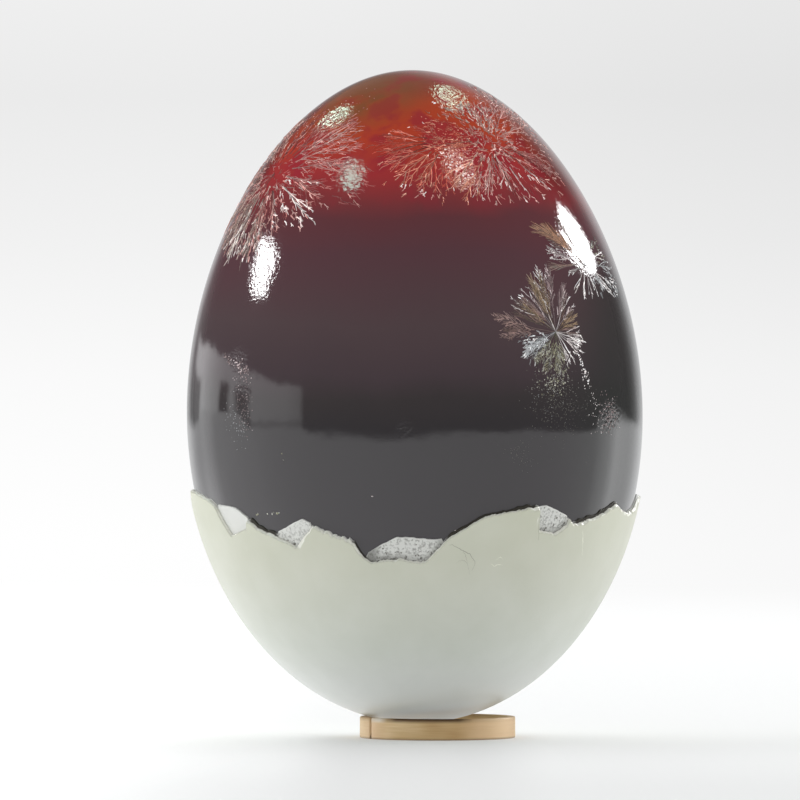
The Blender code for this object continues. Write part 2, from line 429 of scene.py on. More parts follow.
def makeSky(tree):  # even light for matt surfaces, and for glossy ones the room that the jelly mirrors
    tree.nodes.clear()
    direction = addNode(tree, "ShaderNodeTexCoord")["Generated"]
    x, y, z = addParts(tree, direction)
    aside = addMath(tree, "DEGREES", addMath(tree, "ARCTAN2", x, times(tree, y, -1.0)))
    rise = addMath(tree, "DEGREES", addMath(tree, "ARCSINE", z))

    def read(name, along=aside):
        return addCurve(tree, along, mirrored[name])

    # the jelly isn't quite even, so the window's outline wavers
    uneven = times(tree, addMath(tree, "SUBTRACT", addNoise(tree, direction, 1 / 15, 3), 0.5), read("uneven"))
    waved = addMath(tree, "MULTIPLY_ADD", uneven, mirrored["waver"], rise)
    wavedAside = addMath(tree, "MULTIPLY_ADD", uneven, mirrored["waverAside"], aside)
    underEdge = addMath(tree, "SUBTRACT", read("tableEdge"), rise)
    onTable = addStep(tree, addMath(tree, "DIVIDE", underEdge, read("tableSoftness")), -1.0, 1.0)
    near = times(tree, addStep(tree, rise, -14.0, -4.0, 1.0, 0.0), read("tableNear"))
    tableLight = times(tree, read("tableLight"), addMath(tree, "ADD", near, 1.0))
    table = times(tree, onTable, tableLight)
    windowLow = addStep(tree, waved, -2.4, -1.0, 0.62, 1.0)
    windowHigh = addStep(tree, addMath(tree, "SUBTRACT", read("windowTop"), waved), -0.7, 0.6)
    overBars = addMath(tree, "SUBTRACT", waved, read("barTop"))
    bars = times(tree, read("windowBars", wavedAside), addStep(tree, overBars, -0.7, 0.7, 1.0, 0.0))
    pane = times(tree, windowHigh, addMath(tree, "SUBTRACT", 1.0, bars))
    window = times(tree, times(tree, windowLow, pane), read("windowLight"))
    fade = addNode(tree, "ShaderNodeMix", {
        0: addStep(tree, x, -0.1, 0.1), 2: read("roomFadeLeft", rise), 3: read("roomFadeRight", rise)})[0]
    room = times(tree, fade, read("roomLight"))
    beyond = addMath(tree, "MAXIMUM", addMath(tree, "MAXIMUM", window, room), mirrored["roomDark"])
    offTable = times(tree, addMath(tree, "SUBTRACT", 1.0, onTable), beyond)
    glossy = addMath(tree, "ADD", table, offTable)
    matt = addMath(tree, "MULTIPLY_ADD", y, studio["skyBehind"], studio["skyLevel"])
    isGlossy = addNode(tree, "ShaderNodeLightPath")["Is Glossy Ray"]
    level = addNode(tree, "ShaderNodeMix", {0: isGlossy, 2: matt, 3: glossy})[0]
    tint = addBlend(tree, isGlossy, studio["skyColour"], studio["tableTint"])
    glow = addNode(tree, "ShaderNodeBackground", {"Color": tint, "Strength": level})[0]
    addNode(tree, "ShaderNodeOutputWorld", {"Surface": glow})


scene.world = bpy.data.worlds.new("studio")
scene.world.use_nodes = True
makeSky(scene.world.node_tree)

# Soft lights for form: name, place and size in metres, radiance. They cast no shadow and no mirror image.
softLights = [
    ("windowBehind", (-0.35, 0.75, 0.60), 0.8, 1.6),
    ("paleWallLeft", (-0.80, 0.30, 0.22), 0.6, 0.7),
    ("paleWallRight", (0.80, 0.30, 0.22), 0.6, 1.45),
]
# Cards that show only as highlights on the wet jelly: name, the highlight's azimuth and height, radiance,
# colour, and the card's outline in degrees to the right and up, seen from the highlight.
highlights = [
    ("stripLeft", -46.5, 45.5, 45, "#ffffff", [
        (-12.3, 2.1), (-7, 3.4), (-2.1, 4.4), (3, 4.2), (8, 3.4), (5.2, -0.2), (8.9, -3.4), (3, -4.6),
        (-2.5, -5.3), (-7.3, -1.7)]),
    ("stripRight", 55.5, 48.0, 50, "#ffffff", [
        (3.7, 5), (7, 2.2), (9.5, -0.3), (12.0, -4), (12.9, -7.7), (8, -7.8), (4, -7.3), (-1, -5.4),
        (-5.1, -3.6), (-8, -0.6), (-10.7, 2.9), (-8, 4.4), (-4.7, 4.5)]),
    ("spotRound", -22.1, 54.6, 17, "#bdfff0", [
        (8.0, 0.5), (5, 3.2), (0, 3.9), (-5, 3), (-8.2, 0.3), (-5.4, -3), (0, -4.0), (5.2, -3.2)]),
    ("spotUpperLeft", -43.5, 60.6, 18, "#d2ffea", [
        (4.2, 8.0), (0.6, 6.2), (-3.8, -1.5), (-4.6, -8.2), (-0.5, -7.2), (3.5, -1), (4.8, 4)]),
    ("spotUpperRight", 29.0, 62.35, 17, "#d2ffe4", [
        (8.5, -6.5), (6.2, -1), (1, 5.5), (-5, 9), (-6.0, 5.5), (-1.5, 0), (3.5, -5.5)]),
    ("spotBroken", 17.4, 55.2, 17, "#fff0e0", [
        (5.5, 1), (3, 5), (-2.2, 5.6), (-5.8, 2), (-4.6, -3.6), (0.5, -5.8), (4.6, -3.5)]),
]


def makeCardMaterial(radiance, colour):  # light that fades towards the card's rim
    made = bpy.data.materials.new("highlightCard")
    made.use_nodes = True
    tree = made.node_tree
    tree.nodes.clear()
    shown = addStep(tree, readAttribute(tree, "inside"), 0.0, 1.0, 0.0, radiance)
    light = addNode(tree, "ShaderNodeEmission", {"Color": colour, "Strength": shown})[0]
    addNode(tree, "ShaderNodeOutputMaterial", {0: light})
    return made


for name, azimuth, height, radiance, colour, outline in highlights:
    spot = Vector(onEgg(azimuth, angleAt(height), egg["jellyDepth"]))
    toward = (spot - eye).normalized().reflect(axesAt(azimuth, height)[2])
    across = Vector((0, 0, 1)).cross(toward).normalized()
    upward = toward.cross(across)
    corners = [
        across * math.tan(math.radians(right)) + upward * math.tan(math.radians(up)) for right, up in outline]
    cardPoints = [
        spot + (toward + corner * size) * studio["cardDistance"]
        for size in studio["cardRim"] for corner in corners]
    cardPoints.append(spot + toward * studio["cardDistance"])
    count = len(corners)
    cardFaces = [(j, (j + 1) % count, 2 * count) for j in range(count)]
    cardFaces += [(j, (j + 1) % count, (j + 1) % count + count, j + count) for j in range(count)]
    card = stageMesh(name, cardPoints, cardFaces, makeCardMaterial(radiance, colour),
                     camera=False, diffuse=False, shadow=False, transmission=False)
    card.data.attributes.new("inside", "FLOAT", "POINT").data.foreach_set(
        "value", [1.0] * count + [0.0] * count + [1.0])

for name, place, size, radiance in softLights:
    lamp = bpy.data.lights.new(name, "AREA")
    lamp.size = size
    lamp.energy = radiance * math.pi * size ** 2
    lamp.use_shadow = False
    lampObject = bpy.data.objects.new(name, lamp)
    lampObject.location = place
    lampObject.rotation_euler = (eggCentre - lampObject.location).to_track_quat("-Z", "Y").to_euler()
    lampObject.visible_glossy = lampObject.visible_camera = False
    scene.collection.objects.link(lampObject)


print("Egg white")
jelly = {
    "columns": 300,
    "rows": 150,
    # colours by height over the floor, in mm, and the mm that their drift up and down spans
    "drift": 3.0,
    "colours": [
        (20, "#393639"), (31, "#3a3739"), (34, "#403b3c"), (36.5, "#4c4145"), (41, "#56474a"),
        (48, "#5e4046"), (51.5, "#683c41"), (53.5, "#863b3e"), (56, "#a8393b"), (60, "#bf4830"),
        (63, "#b84b2f"), (66, "#7c403a")],
    "crimson": "#a02f3c",
    "olive": "#84573a",
    "flank": "#373837",
    # painted shade for the crown's thin sides
    "crownSideShade": "#4a1f1a",
    "roughness": 0.06,
    "olivePlace": (-5 * mm, -6 * mm, 64 * mm),
    # places where crystals break the smooth surface: azimuth, height, radius in mm, how rough
    "roughSpots": [
        (-46.5, 45.5, 3.0, 0.8), (55.5, 48.0, 3.4, 0.7), (-22.1, 54.6, 2.2, 0.7), (-43.5, 60.6, 2.6, 1.0),
        (29.0, 62.35, 3.2, 1.7), (17.4, 55.2, 2.2, 1.8), (-50.5, 36.6, 1.2, 1.3), (-48.0, 33.5, 1.2, 0.5),
        (-47.1, 31.4, 1.0, 0.5), (-2.4, 29.8, 0.9, 0.6), (57.7, 30.5, 1.6, 1.2), (39.3, 38.8, 4.0, 0.5),
        (-60.5, 54.9, 8.0, 0.5), (24.0, 58.0, 8.0, 0.4)],
}


def makeJellyMaterial():
    # Duck egg white set to a firm clear jelly by alkali. It set against the shell's inner skin, so it is
    # smooth and wet: a deep wine-brown body under a sharp gloss. Light from above makes its top glow red,
    # and that glow is painted into its colour.
    made, tree, shader = newMaterial("setEggWhiteJelly", {
        "Roughness": jelly["roughness"], "IOR": 1.42, "Specular IOR Level": 0.5})
    place = addPlace(tree)
    sideways, depthways, height = addParts(tree, place)
    low, high = jelly["colours"][0][0], jelly["colours"][-1][0]
    drift = jelly["drift"]
    drifted = addMath(tree, "MULTIPLY_ADD", addNoise(tree, place, 9 * mm, 2), drift * mm, height)
    # colour by height: dark below, turning red in the thin top, where the glow of light is painted in
    colour = addRamp(tree, addRange(tree, drifted, (low + drift / 2) * mm, (high + drift / 2) * mm), [
        ((h - low) / (high - low), tone) for h, tone in jelly["colours"]])
    # clouds in the thin red top: crimson, and olive where it leans over
    patches = addNoise(tree, place, 3.5 * mm, 3)
    crimson = times(tree, addStep(tree, patches, 0.48, 0.62, 0.0, 0.7),
                    addStep(tree, height, 51 * mm, 56 * mm))
    fromOlive = addVector(tree, "DISTANCE", place, jelly["olivePlace"])["Value"]
    olive = times(tree, addStep(tree, fromOlive, 3 * mm, 8.5 * mm, 0.85, 0.0),
                  addStep(tree, patches, 0.40, 0.60, 1.0, 0.45))
    # the jelly's right flank is darker and greener
    flank = times(tree, addStep(tree, sideways, 13 * mm, 20 * mm, 0.0, 0.8),
                  addStep(tree, height, 44 * mm, 51 * mm, 1.0, 0.0))
    # its crown's red is darker at both sides, a painted shade where the jelly is thin and light leaves it
    fromAxis = fromUpright(tree, place)
    bearing = addMath(tree, "DIVIDE", sideways, fromAxis)
    bothSides = addMath(tree, "MAXIMUM", addStep(tree, bearing, -0.985, -0.87, 0.8, 0.0),
                        addStep(tree, bearing, 0.68, 0.97, 0.0, 0.8))
    onCrown = times(tree, addStep(tree, height, 51 * mm, 56 * mm), addStep(tree, fromAxis, 2 * mm, 6.5 * mm))
    inFront = times(tree, addStep(tree, depthways, 0.5 * mm, 7 * mm, 1.0, 0.2), onCrown)
    dull = times(tree, bothSides, inFront)
    for share, tint in (crimson, "crimson"), (olive, "olive"), (flank, "flank"), (dull, "crownSideShade"):
        colour = addBlend(tree, share, colour, jelly[tint])
    wide = addBump(tree, addNoise(tree, place, 2.2 * mm, 1), 0.10, 0.12 * mm)
    rough = times(tree, readAttribute(tree, "rough"), 0.45)
    relief = addBump(tree, addNoise(tree, place, 0.42 * mm, 3), rough, 0.12 * mm, Normal=wide)
    setInputs(tree, shader, {"Base Color": colour, "Normal": relief})
    return made


jellyAzimuths = np.arange(jelly["columns"]) * 360 / jelly["columns"]
jellyAngles = np.linspace(0, math.pi, jelly["rows"] + 2)[1:-1]
jellyRings = np.array([onEgg(jellyAzimuths, angle, egg["jellyDepth"]) for angle in jellyAngles])
roughness = np.full(jellyRings.shape[:2], 0.03)
for azimuth, height, radius, strength in jelly["roughSpots"]:
    gap = np.linalg.norm(jellyRings - onEgg(azimuth, angleAt(height), egg["jellyDepth"]), axis=2) / mm
    roughness = np.maximum(roughness, strength * np.exp(-(gap / radius) ** 2))
eggWhite = meshFrom("eggWhite", jellyRings, makeJellyMaterial(), attributes={"rough": roughness.ravel()},
                    poles=[onEgg(0.0, angle, egg["jellyDepth"]) for angle in (0.0, math.pi)])
takePlace(eggWhite, "egg_white")


print("Shell")
shell = {
    "columns": 1200,
    "outerRows": 34,
    "innerRows": 20,
    "chipDepth": 0.26,       # mm that the outer face is chipped away at the edge itself
    "innerDrop": 0.02,       # mm that the inner face stops lower
    # mm that the outer face has crumbled back from the edge, by azimuth
    "chips": [
        (-75, 0.08), (-52, 0.06), (-48, 0.10), (-40, 0.12), (-33.5, 0.07), (-33, 0.36), (-30.5, 0.36),
        (-29.5, 0.16), (-17, 0.14), (-13, 0.06), (8, 0.10), (12, 0.05), (30, 0.05), (32, 0.22),
        (34.5, 0.22), (36, 0.10), (42, 0.16), (60, 0.12), (66, 0.16), (180, 0.10)],
    # how ragged the edge is, by azimuth
    "raggedness": [
        (-75, 0.5), (-52, 0.3), (-49, 1.0), (-40, 1.0), (-31, 0.8), (-28, 2.4), (-17, 2.4), (-14, 1.1),
        (8, 0.6), (30, 0.8), (40, 1.2), (48, 1.6), (70, 1.4), (180, 1.0)],
    # colours by height, as shares of the way up: the shell's own tint, and paler and greyer low down,
    # a painted light for what the floor throws up
    "washAndBounce": [
        (0.0, "#d3d6d3"), (0.12, "#cfd2ce"), (0.22, "#cacdc8"), (0.36, "#c5c9c0"), (0.7, "#c6c8b9"),
        (1.0, "#c9cbb8")],
    "brokenColour": "#f4f4ec",
    "seed": 4,
}
rowsNearEdge = [0.0, 0.04, 0.09, 0.15, 0.22, 0.3, 0.4, 0.52, 0.68, 0.9, 1.2, 1.6]    # mm under the edge
cupPull = 8                  # how closely a cup's rows follow its edge: higher keeps the change near the edge


def cupAngles(edge, rows, near):  # rows of profile angles from near the tip up to the edge
    start = edge - perMm * near[-1] * 1.25
    middle = float(start.mean())
    shares = np.linspace(0, 1, rows + 1)[1:] ** 0.8
    lower = [middle * share + (start - middle) * share ** cupPull for share in shares]
    return np.array(lower + [edge - perMm * gap for gap in near[::-1]])


def gapToEdge(azimuths, angles, edge):  # mm from each point of a cup to its edge
    step = 360 / len(azimuths)
    across = math.radians(step) * profile(float(edge.mean()))[0]
    best = np.full(angles.shape, 9.0)
    for shift in range(-12, 13):
        other = np.roll(edge, -shift)
        best = np.minimum(best, np.hypot(shift * across, (angles - other) / perMm))
    return best


def makeShellMaterial():
    # Duck eggshell: calcite, smooth and dull, pale celadon. It is chalk-white where it has broken.
    made, tree, shader = newMaterial("duckEggshell", {"Roughness": 0.42, "IOR": 1.5})
    place = addPlace(tree)
    # the shell's tint, with painted light from the floor low down
    washAndBounce = addRamp(tree, addRange(tree, addParts(tree, place)["Z"], 1 * mm, 24 * mm), shell["washAndBounce"])
    mottled = addBlend(tree, 0.10, washAndBounce, addNoise(tree, place, 4 * mm, 4), "OVERLAY")
    colour = addBlend(tree, readAttribute(tree, "broken"), mottled, shell["brokenColour"])
    relief = addBump(tree, addNoise(tree, place, 0.35 * mm, 2), 0.12, 0.05 * mm)
    setInputs(tree, shader, {"Base Color": colour, "Normal": relief})
    return made


shellDraw = random.Random(shell["seed"])
shellAzimuths = np.arange(shell["columns"]) * 360 / shell["columns"]
outside, inside = egg["shellDepths"]
shellEdge = np.interp(shellAzimuths, *brokenEdge("eggshell", outside), period=360)
ragged = stretch(shellAzimuths, shell["raggedness"])
shellEdge += perMm * ragged * ripple(shellDraw, shellAzimuths, [(180, 0.03), (400, 0.05), (800, 0.07)])
outerAngles = cupAngles(shellEdge, shell["outerRows"], rowsNearEdge)
chip = stretch(shellAzimuths, shell["chips"])
chip *= 1 + ripple(shellDraw, shellAzimuths, [(140, 0.3), (500, 0.4)])
chipped = np.clip(1 - gapToEdge(shellAzimuths, outerAngles, shellEdge) / chip, 0, 1)
shellRings = [
    onEgg(shellAzimuths, angles, outside + shell["chipDepth"] * depth ** 0.7)
    for angles, depth in zip(outerAngles, chipped)]
innerAngles = cupAngles(shellEdge - perMm * shell["innerDrop"], shell["innerRows"], [0.0, 0.3])[::-1]
shellRings += [onEgg(shellAzimuths, angles, inside) for angles in innerAngles]
whiteness = np.clip(chipped * 6, 0, 1)
rough = 0.4 + 0.6 * np.array([shellDraw.random() for _ in range(whiteness.size)]).reshape(whiteness.shape)
whiteness = np.vstack([whiteness * np.sqrt(rough) * 0.8, np.full(innerAngles.shape, 0.5)])
# The jelly doesn't mirror the broken rim, because its image there would look like a dark band.
duckShell = meshFrom("duckShell", shellRings, makeShellMaterial(), attributes={"broken": whiteness.ravel()},
                     poles=[onEgg(0.0, 0.0, depth) for depth in (outside, inside)])
duckShell.visible_glossy = False
takePlace(duckShell, "eggshell")


print("Membrane")
membrane = {
    "columns": 900,
    "outerRows": 20,
    "innerRows": 12,
    "standing": 0.03,        # mm that it stands higher than its solid
    "lineBelow": 0.55,       # mm over the shell, and where it stands lower than that it is only a line
    "footHeight": 0.4,       # mm over the shell that the painted shade at its foot reaches
    # where its torn corners are rounder, by azimuth
    "blunt": [(-68, 0.0), (-65, 1.0), (-54, 1.0), (-50, 0.0), (180, 0.0)],
    # mm that it shows above the shell where it shows only as a dark line
    "lineHeight": [
        (-80, -0.08), (-50, -0.08), (-48.5, 0.29), (-41, 0.24), (-38, 0.02), (-31, -0.08), (-19, -0.08),
        (-16.5, 0.18), (6, 0.05), (9, 0.16), (31, 0.18), (33.5, 0.05), (45, 0.05), (47, 0.24), (62, 0.24),
        (67, 0.04), (180, 0.12)],
    # how dark that line is, a painted shade for the gap between the shell and the jelly: elsewhere the torn
    # edge is white
    "gapShade": [
        (-80, 0.0), (-50, 0.0), (-48.5, 1.0), (-40.5, 1.0), (-38.5, 0.0), (-18, 0.0), (-16.5, 1.0),
        (-13, 1.0), (-11, 0.2), (7, 0.2), (8.5, 1.0), (32, 1.0), (33.5, 0.1), (45, 0.1), (47, 1.0),
        (63, 1.0), (67, 0.3), (180, 0.5)],
    # how specked it is, by azimuth: the first patch on the left is clean
    "specks": [
        (-80, 0.3), (-66, 0.0), (-47, 0.0), (-43, 0.8), (-22, 0.8), (-18, 1.3), (16, 1.3), (30, 1.2),
        (46, 1.2), (90, 0.8), (180, 0.8)],
    # how dark it is, by azimuth: painted shade in the strip just above the shell, where it meets the shell's
    # edge, and smudges all over
    "footShade": [
        (-80, 0.0), (-15, 0.0), (-13, 0.55), (5, 0.55), (8, 0.0), (30, 0.0), (32, 0.35), (45, 0.4),
        (47, 0.0), (180, 0.0)],
    "smudges": [
        (-80, 0.0), (-16, 0.0), (-14.5, 0.6), (-11.5, 0.5), (-9.3, 0.0), (4.5, 0.0), (6, 0.3), (7.5, 0.3),
        (9, 0.0), (180, 0.0)],
    "seed": 8,
}


def makeMembraneMaterial():
    # The shell's inner skin, dried: a white felt of fibres, matt like paper, with grey specks that the cure
    # left. Where the shell's edge still covers it, a dark line is painted shade for the gap there.
    made, tree, shader = newMaterial("driedShellSkin", {"Roughness": 0.75, "IOR": 1.4})
    place = addPlace(tree)
    specked = readAttribute(tree, "specked")
    fibres = addNoise(tree, place, 0.24 * mm, 3)
    fine = addStep(tree, fibres, 0.44, 0.70, 0.0, 0.6)
    reach = addMath(tree, "MULTIPLY_ADD", specked, 0.09, addNoise(tree, place, 0.36 * mm, 2))
    coarse = addStep(tree, reach, 0.685, 0.765, 0.0, 0.95)
    dark = times(tree, addMath(tree, "MAXIMUM", fine, coarse), addStep(tree, specked, 0.0, 0.6))
    felt = addBlend(tree, addStep(tree, specked, 0.2, 1.5, 0.0, 0.5), "#dddeda", "#a4a4a0")
    dotted = addBlend(tree, dark, felt, "#64635d")
    # painted shade at the shell's edge, and darker smudges
    colour = addBlend(tree, readAttribute(tree, "stained"), dotted, "#2f2c24")
    setInputs(tree, shader, {"Base Color": colour, "Normal": addBump(tree, fibres, 0.3, 0.05 * mm)})
    return made


def smoothed(values, reach):  # each value averaged with its neighbours on both sides
    return sum(np.roll(values, shift) for shift in range(-reach, reach + 1)) / (2 * reach + 1)


membraneDraw = random.Random(membrane["seed"])
skinAzimuths = np.arange(membrane["columns"]) * 360 / membrane["columns"]
outside, inside = egg["membraneDepths"]
skinEdge = np.interp(skinAzimuths, *brokenEdge("shell_membrane", outside), period=360)
blunt = smoothed(skinEdge, 6)         # torn skin has no sharp corners
skinEdge = smoothed(skinEdge, 1)
skinEdge += stretch(skinAzimuths, membrane["blunt"]) * (blunt - skinEdge)
skinEdge += perMm * (ripple(membraneDraw, skinAzimuths, [(160, 0.04), (500, 0.03)]) + membrane["standing"])
shellEdgeThere = np.interp(skinAzimuths, shellAzimuths, shellEdge, period=360)
overShell = (skinEdge - shellEdgeThere) / perMm       # mm that it shows above the shell
lineHeight = stretch(skinAzimuths, membrane["lineHeight"])
lineHeight *= 1 + ripple(membraneDraw, skinAzimuths, [(240, 0.6)])
isLine = np.clip((membrane["lineBelow"] - overShell) / 0.15, 0, 1)
skinEdge += perMm * isLine * (lineHeight - overShell)
skinRowsNearEdge = [0.0, 0.07, 0.16, 0.28, 0.45, 0.65, 0.9, 1.2, 1.6, 2.0, 2.5, 3.0]
skinAngles = cupAngles(skinEdge, membrane["outerRows"], skinRowsNearEdge)
# painted shade: a dark line for the gap between shell and jelly, where the skin shows only as a line
lineShade = isLine * stretch(skinAzimuths, membrane["gapShade"])
aboveShell = (skinAngles - shellEdgeThere) / perMm
# painted shade in the crease just above the shell's edge
foot = np.clip(1 - np.abs(aboveShell) / membrane["footHeight"], 0, 1)
foot *= stretch(skinAzimuths, membrane["footShade"])
footShadeAndSmudges = np.maximum(foot, stretch(skinAzimuths, membrane["smudges"]))
footShadeAndSmudges *= 1 + ripple(membraneDraw, skinAzimuths, [(90, 0.5)])
skinShadeAndSmudges = np.vstack([np.maximum(lineShade, (1 - isLine) * np.clip(footShadeAndSmudges, 0, 0.8)), lineShade])
specks = stretch(skinAzimuths, membrane["specks"]) * (0.45 + 0.75 * np.clip(1 - aboveShell / 0.8, 0, 1))
specks[-1] = 0.0         # the torn rim is clean
specks[-2] *= 0.3
innerSkin = cupAngles(skinEdge, membrane["innerRows"], [0.0, 0.4])[::-1]
skinRings = [onEgg(skinAzimuths, angles, outside) for angles in skinAngles]
skinRings += [onEgg(skinAzimuths, angles, inside) for angles in innerSkin]
shellSkin = meshFrom("shellSkin", skinRings, makeMembraneMaterial(), attributes={
    "specked": specks.ravel(), "stained": skinShadeAndSmudges.ravel()},
    poles=[onEgg(0.0, 0.0, depth) for depth in (outside, inside)])
shellSkin.visible_glossy = False
takePlace(shellSkin, "shell_membrane")


print("Ring")
ring = {
    "wall": 0.75,
    "slit": -59.0,           # azimuth of the slit, where the strip's ends meet
    "slitWidth": 0.35,
    "steps": 260,
    "corner": 0.12,
    "sway": 0.02,            # mm that the strip wanders in and out
    "fibres": 30,
    "fibreDepth": 0.015,
    # by azimuth: painted shade under the top edge where the egg overhangs it, how pink the wood is towards
    # its cut ends and how much paler its right side is as painted light, and a painted highlight on the top
    # near the slit
    "topShade": [(-59, 0.2), (-42, 0.4), (-32, 1.0), (16, 1.0), (27, 0.3), (60, 0.1), (180, 0.5), (300, 0.2)],
    "cutEndsAndSideLight": [
        (-59, 0.9), (-53, 0.7), (-46, 0.35), (-34, 0.0), (14, 0.0), (32, 0.55), (62, 0.7), (100, 0.0),
        (180, 0.0), (285, 0.2), (300, 0.6)],
    "topHighlight": [(-59, 1.0), (-48, 1.0), (-40, 0.0), (300, 0.0), (301, 0.6)],
    "seed": 3,
}


def makeWoodMaterial():
    # A thin split strip of pale wood, bent green and dried: bare and smooth, with straight fibres along it
    # that show as faint lines, and pinker where its ends were cut. Painted shade darkens its top edge under
    # the egg and its foot on the table; painted light makes its right side paler; a painted highlight lies on
    # its top by the slit.
    made, tree, shader = newMaterial("splitPaleWood", {"Roughness": 0.5, "IOR": 1.5})
    place = addNode(tree, "ShaderNodeCombineXYZ", {
        0: readAttribute(tree, "along"), 1: readAttribute(tree, "across")})[0]
    stretched = addNode(tree, "ShaderNodeMapping", {"Vector": place, "Scale": (0.05, 1.0, 1.0)})[0]
    fibres = addNoise(tree, stretched, 1 / 6, 2)
    mixed = addMath(tree, "MULTIPLY_ADD", fibres, 0.35, addNoise(tree, place, 1 / 0.22, 1))
    colour = addRamp(tree, mixed, [(0.45, "#bb9663"), (0.68, "#cdae7c"), (0.9, "#e0c598")])
    # pink cut ends, painted light on the right side, a painted highlight on the top by the slit, and painted
    # shade at the top edge and foot
    for field, tint in ("cut", "#eac9a1"), ("bare", "#fbf4e6"), ("grime", "#553d20"):
        colour = addBlend(tree, readAttribute(tree, field), colour, tint)
    setInputs(tree, shader, {"Base Color": colour, "Normal": addBump(tree, fibres, 0.2, 0.05 * mm)})
    return made


def ringSection(wall, height, corner):  # (in from the outside, up) round the strip's section, in mm
    line = []
    for x, y, start in (
        (corner, height - corner, 90), (wall - corner, height - corner, 0),
        (wall - corner, corner, -90), (corner, corner, -180),
    ):
        for turn in np.linspace(0, 90, 4):
            a = math.radians(start + 90 - turn)
            line.append((x + corner * math.cos(a), y + corner * math.sin(a)))
    fine = []
    for (x0, y0), (x1, y1) in zip(line, line[1:] + line[:1]):
        pieces = max(1, round(math.hypot(x1 - x0, y1 - y0) / 0.12))
        fine += [(x0 + (x1 - x0) * i / pieces, y0 + (y1 - y0) * i / pieces) for i in range(pieces)]
    return np.array(fine)


ringDraw = random.Random(ring["seed"])
ringLow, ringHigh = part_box("wood_ring")
ringMiddle = (ringLow + ringHigh) / 2
ringRadius = (ringHigh.y - ringLow.y) / 2 / mm
ringHeight = ringHigh.z / mm
section = ringSection(ring["wall"], ringHeight, ring["corner"])
inward, upward = section[:, 0], section[:, 1]
halfSlit = math.degrees(ring["slitWidth"] / 2 / (ringRadius - ring["wall"] / 2))
ringTurns = ring["slit"] + halfSlit + np.linspace(0, 360 - 2 * halfSlit, ring["steps"])
fibreLevels = np.array([ringDraw.uniform(0, ring["fibreDepth"]) for _ in range(ring["fibres"])])
fibreDepth = np.interp(upward, np.linspace(0, ringHeight, ring["fibres"]), fibreLevels)
ringRings = []
for turn in ringTurns:
    sway = ring["sway"] * (1 + math.sin(math.radians(turn * 3)))
    radius = (ringRadius - inward - fibreDepth * (inward < ring["wall"] / 2) - sway) * mm
    a = math.radians(turn)
    ringRings.append(np.stack([
        ringMiddle.x + radius * math.sin(a), ringMiddle.y - radius * math.cos(a), upward * mm], axis=1))
# painted shade: darker under the top edge where the egg overhangs it, and at the foot on the table
nearTop = np.clip((upward - ringHeight + 0.46) / 0.30, 0, 1)
nearFloor = np.clip((0.22 - upward) / 0.2, 0, 1)
grime = np.maximum(stretch(ringTurns, ring["topShade"])[:, None] * nearTop, 0.8 * nearFloor)
# a painted highlight on the top near the slit
topHighlight = np.clip((upward - ringHeight + 0.5) / 0.3, 0, 1) * stretch(ringTurns, ring["topHighlight"])[:, None]
# the pink of the cut ends, and painted light that makes the right side paler
splitRing = meshFrom("splitRing", ringRings, makeWoodMaterial(), attributes={
    "grime": grime.ravel(), "bare": topHighlight.ravel(),
    "cut": np.repeat(stretch(ringTurns, ring["cutEndsAndSideLight"]), len(section)),
    "along": np.repeat(np.radians(ringTurns) * ringRadius, len(section)),
    "across": np.tile(upward + inward * 0.7, ring["steps"])})
takePlace(splitRing, "wood_ring")


print("Crystals")
# Flower-like crystals that grow in the jelly just under its surface. Each flower is fronds round a centre.
# A frond is a stem with barbs, and the barbs carry twigs. They are drawn flat beside the egg and then
# dropped onto the jelly, where each line becomes a low ridge and each speck a small flake.
crystals = {
    "ridge": 0.5,            # a ridge's height, as a share of its half width
    "sink": 0.006,           # mm that a ridge's foot lies in the jelly
    "flakeThickness": 0.4,   # a speck's thickness, as a share of its half width
    "flakeSlimness": 0.6,    # its breadth, as a share of its length
    "seed": 21,
}
# a stem's and a barb's width and the barbs' spacing in mm, their angle in degrees, their reach and where they
# start as shares of the frond's length, twigs on a barb, side stems, bright needles at the end, and the share
# of its length where the stem itself starts
lookParts = "stem", "barb", "spacing", "angle", "reach", "first", "twigs", "forks", "tips", "start"
looks = {
    "feather": (0.14, 0.17, 0.22, 34, 0.20, 0.35, 3, 0, 1, 0.0),
    "plume": (0.12, 0.24, 0.15, 30, 0.21, 0.46, 2, 0, 0, 0.0),
    "fern": (0.12, 0.17, 0.15, 38, 0.24, 0.26, 2, 0, 1, 0.0),
    "blade": (0.12, 0.19, 0.12, 15, 0.36, 0.30, 0, 0, 0, 0.0),
    "fork": (0.17, 0.15, 0.26, 26, 0.16, 0.42, 1, 2, 4, 0.0),
    "thread": (0.12, 0.12, 0.34, 34, 0.20, 0.30, 2, 1, 1, 0.2),
    "coral": (0.23, 0.20, 0.50, 32, 0.24, 0.30, 1, 2, 0, 0.28),
    "rib": (0.19, 0.16, 0.34, 18, 0.13, 0.55, 0, 1, 3, 0.0),
    "streak": (0.30, 0.25, 0.50, 22, 0.13, 0.45, 0, 0, 3, 0.34),
    "shard": (0.24, 0.22, 0.50, 26, 0.15, 0.60, 0, 0, 2, 0.55),
}
frondLooks = {name: dict(zip(lookParts, values)) for name, values in looks.items()}
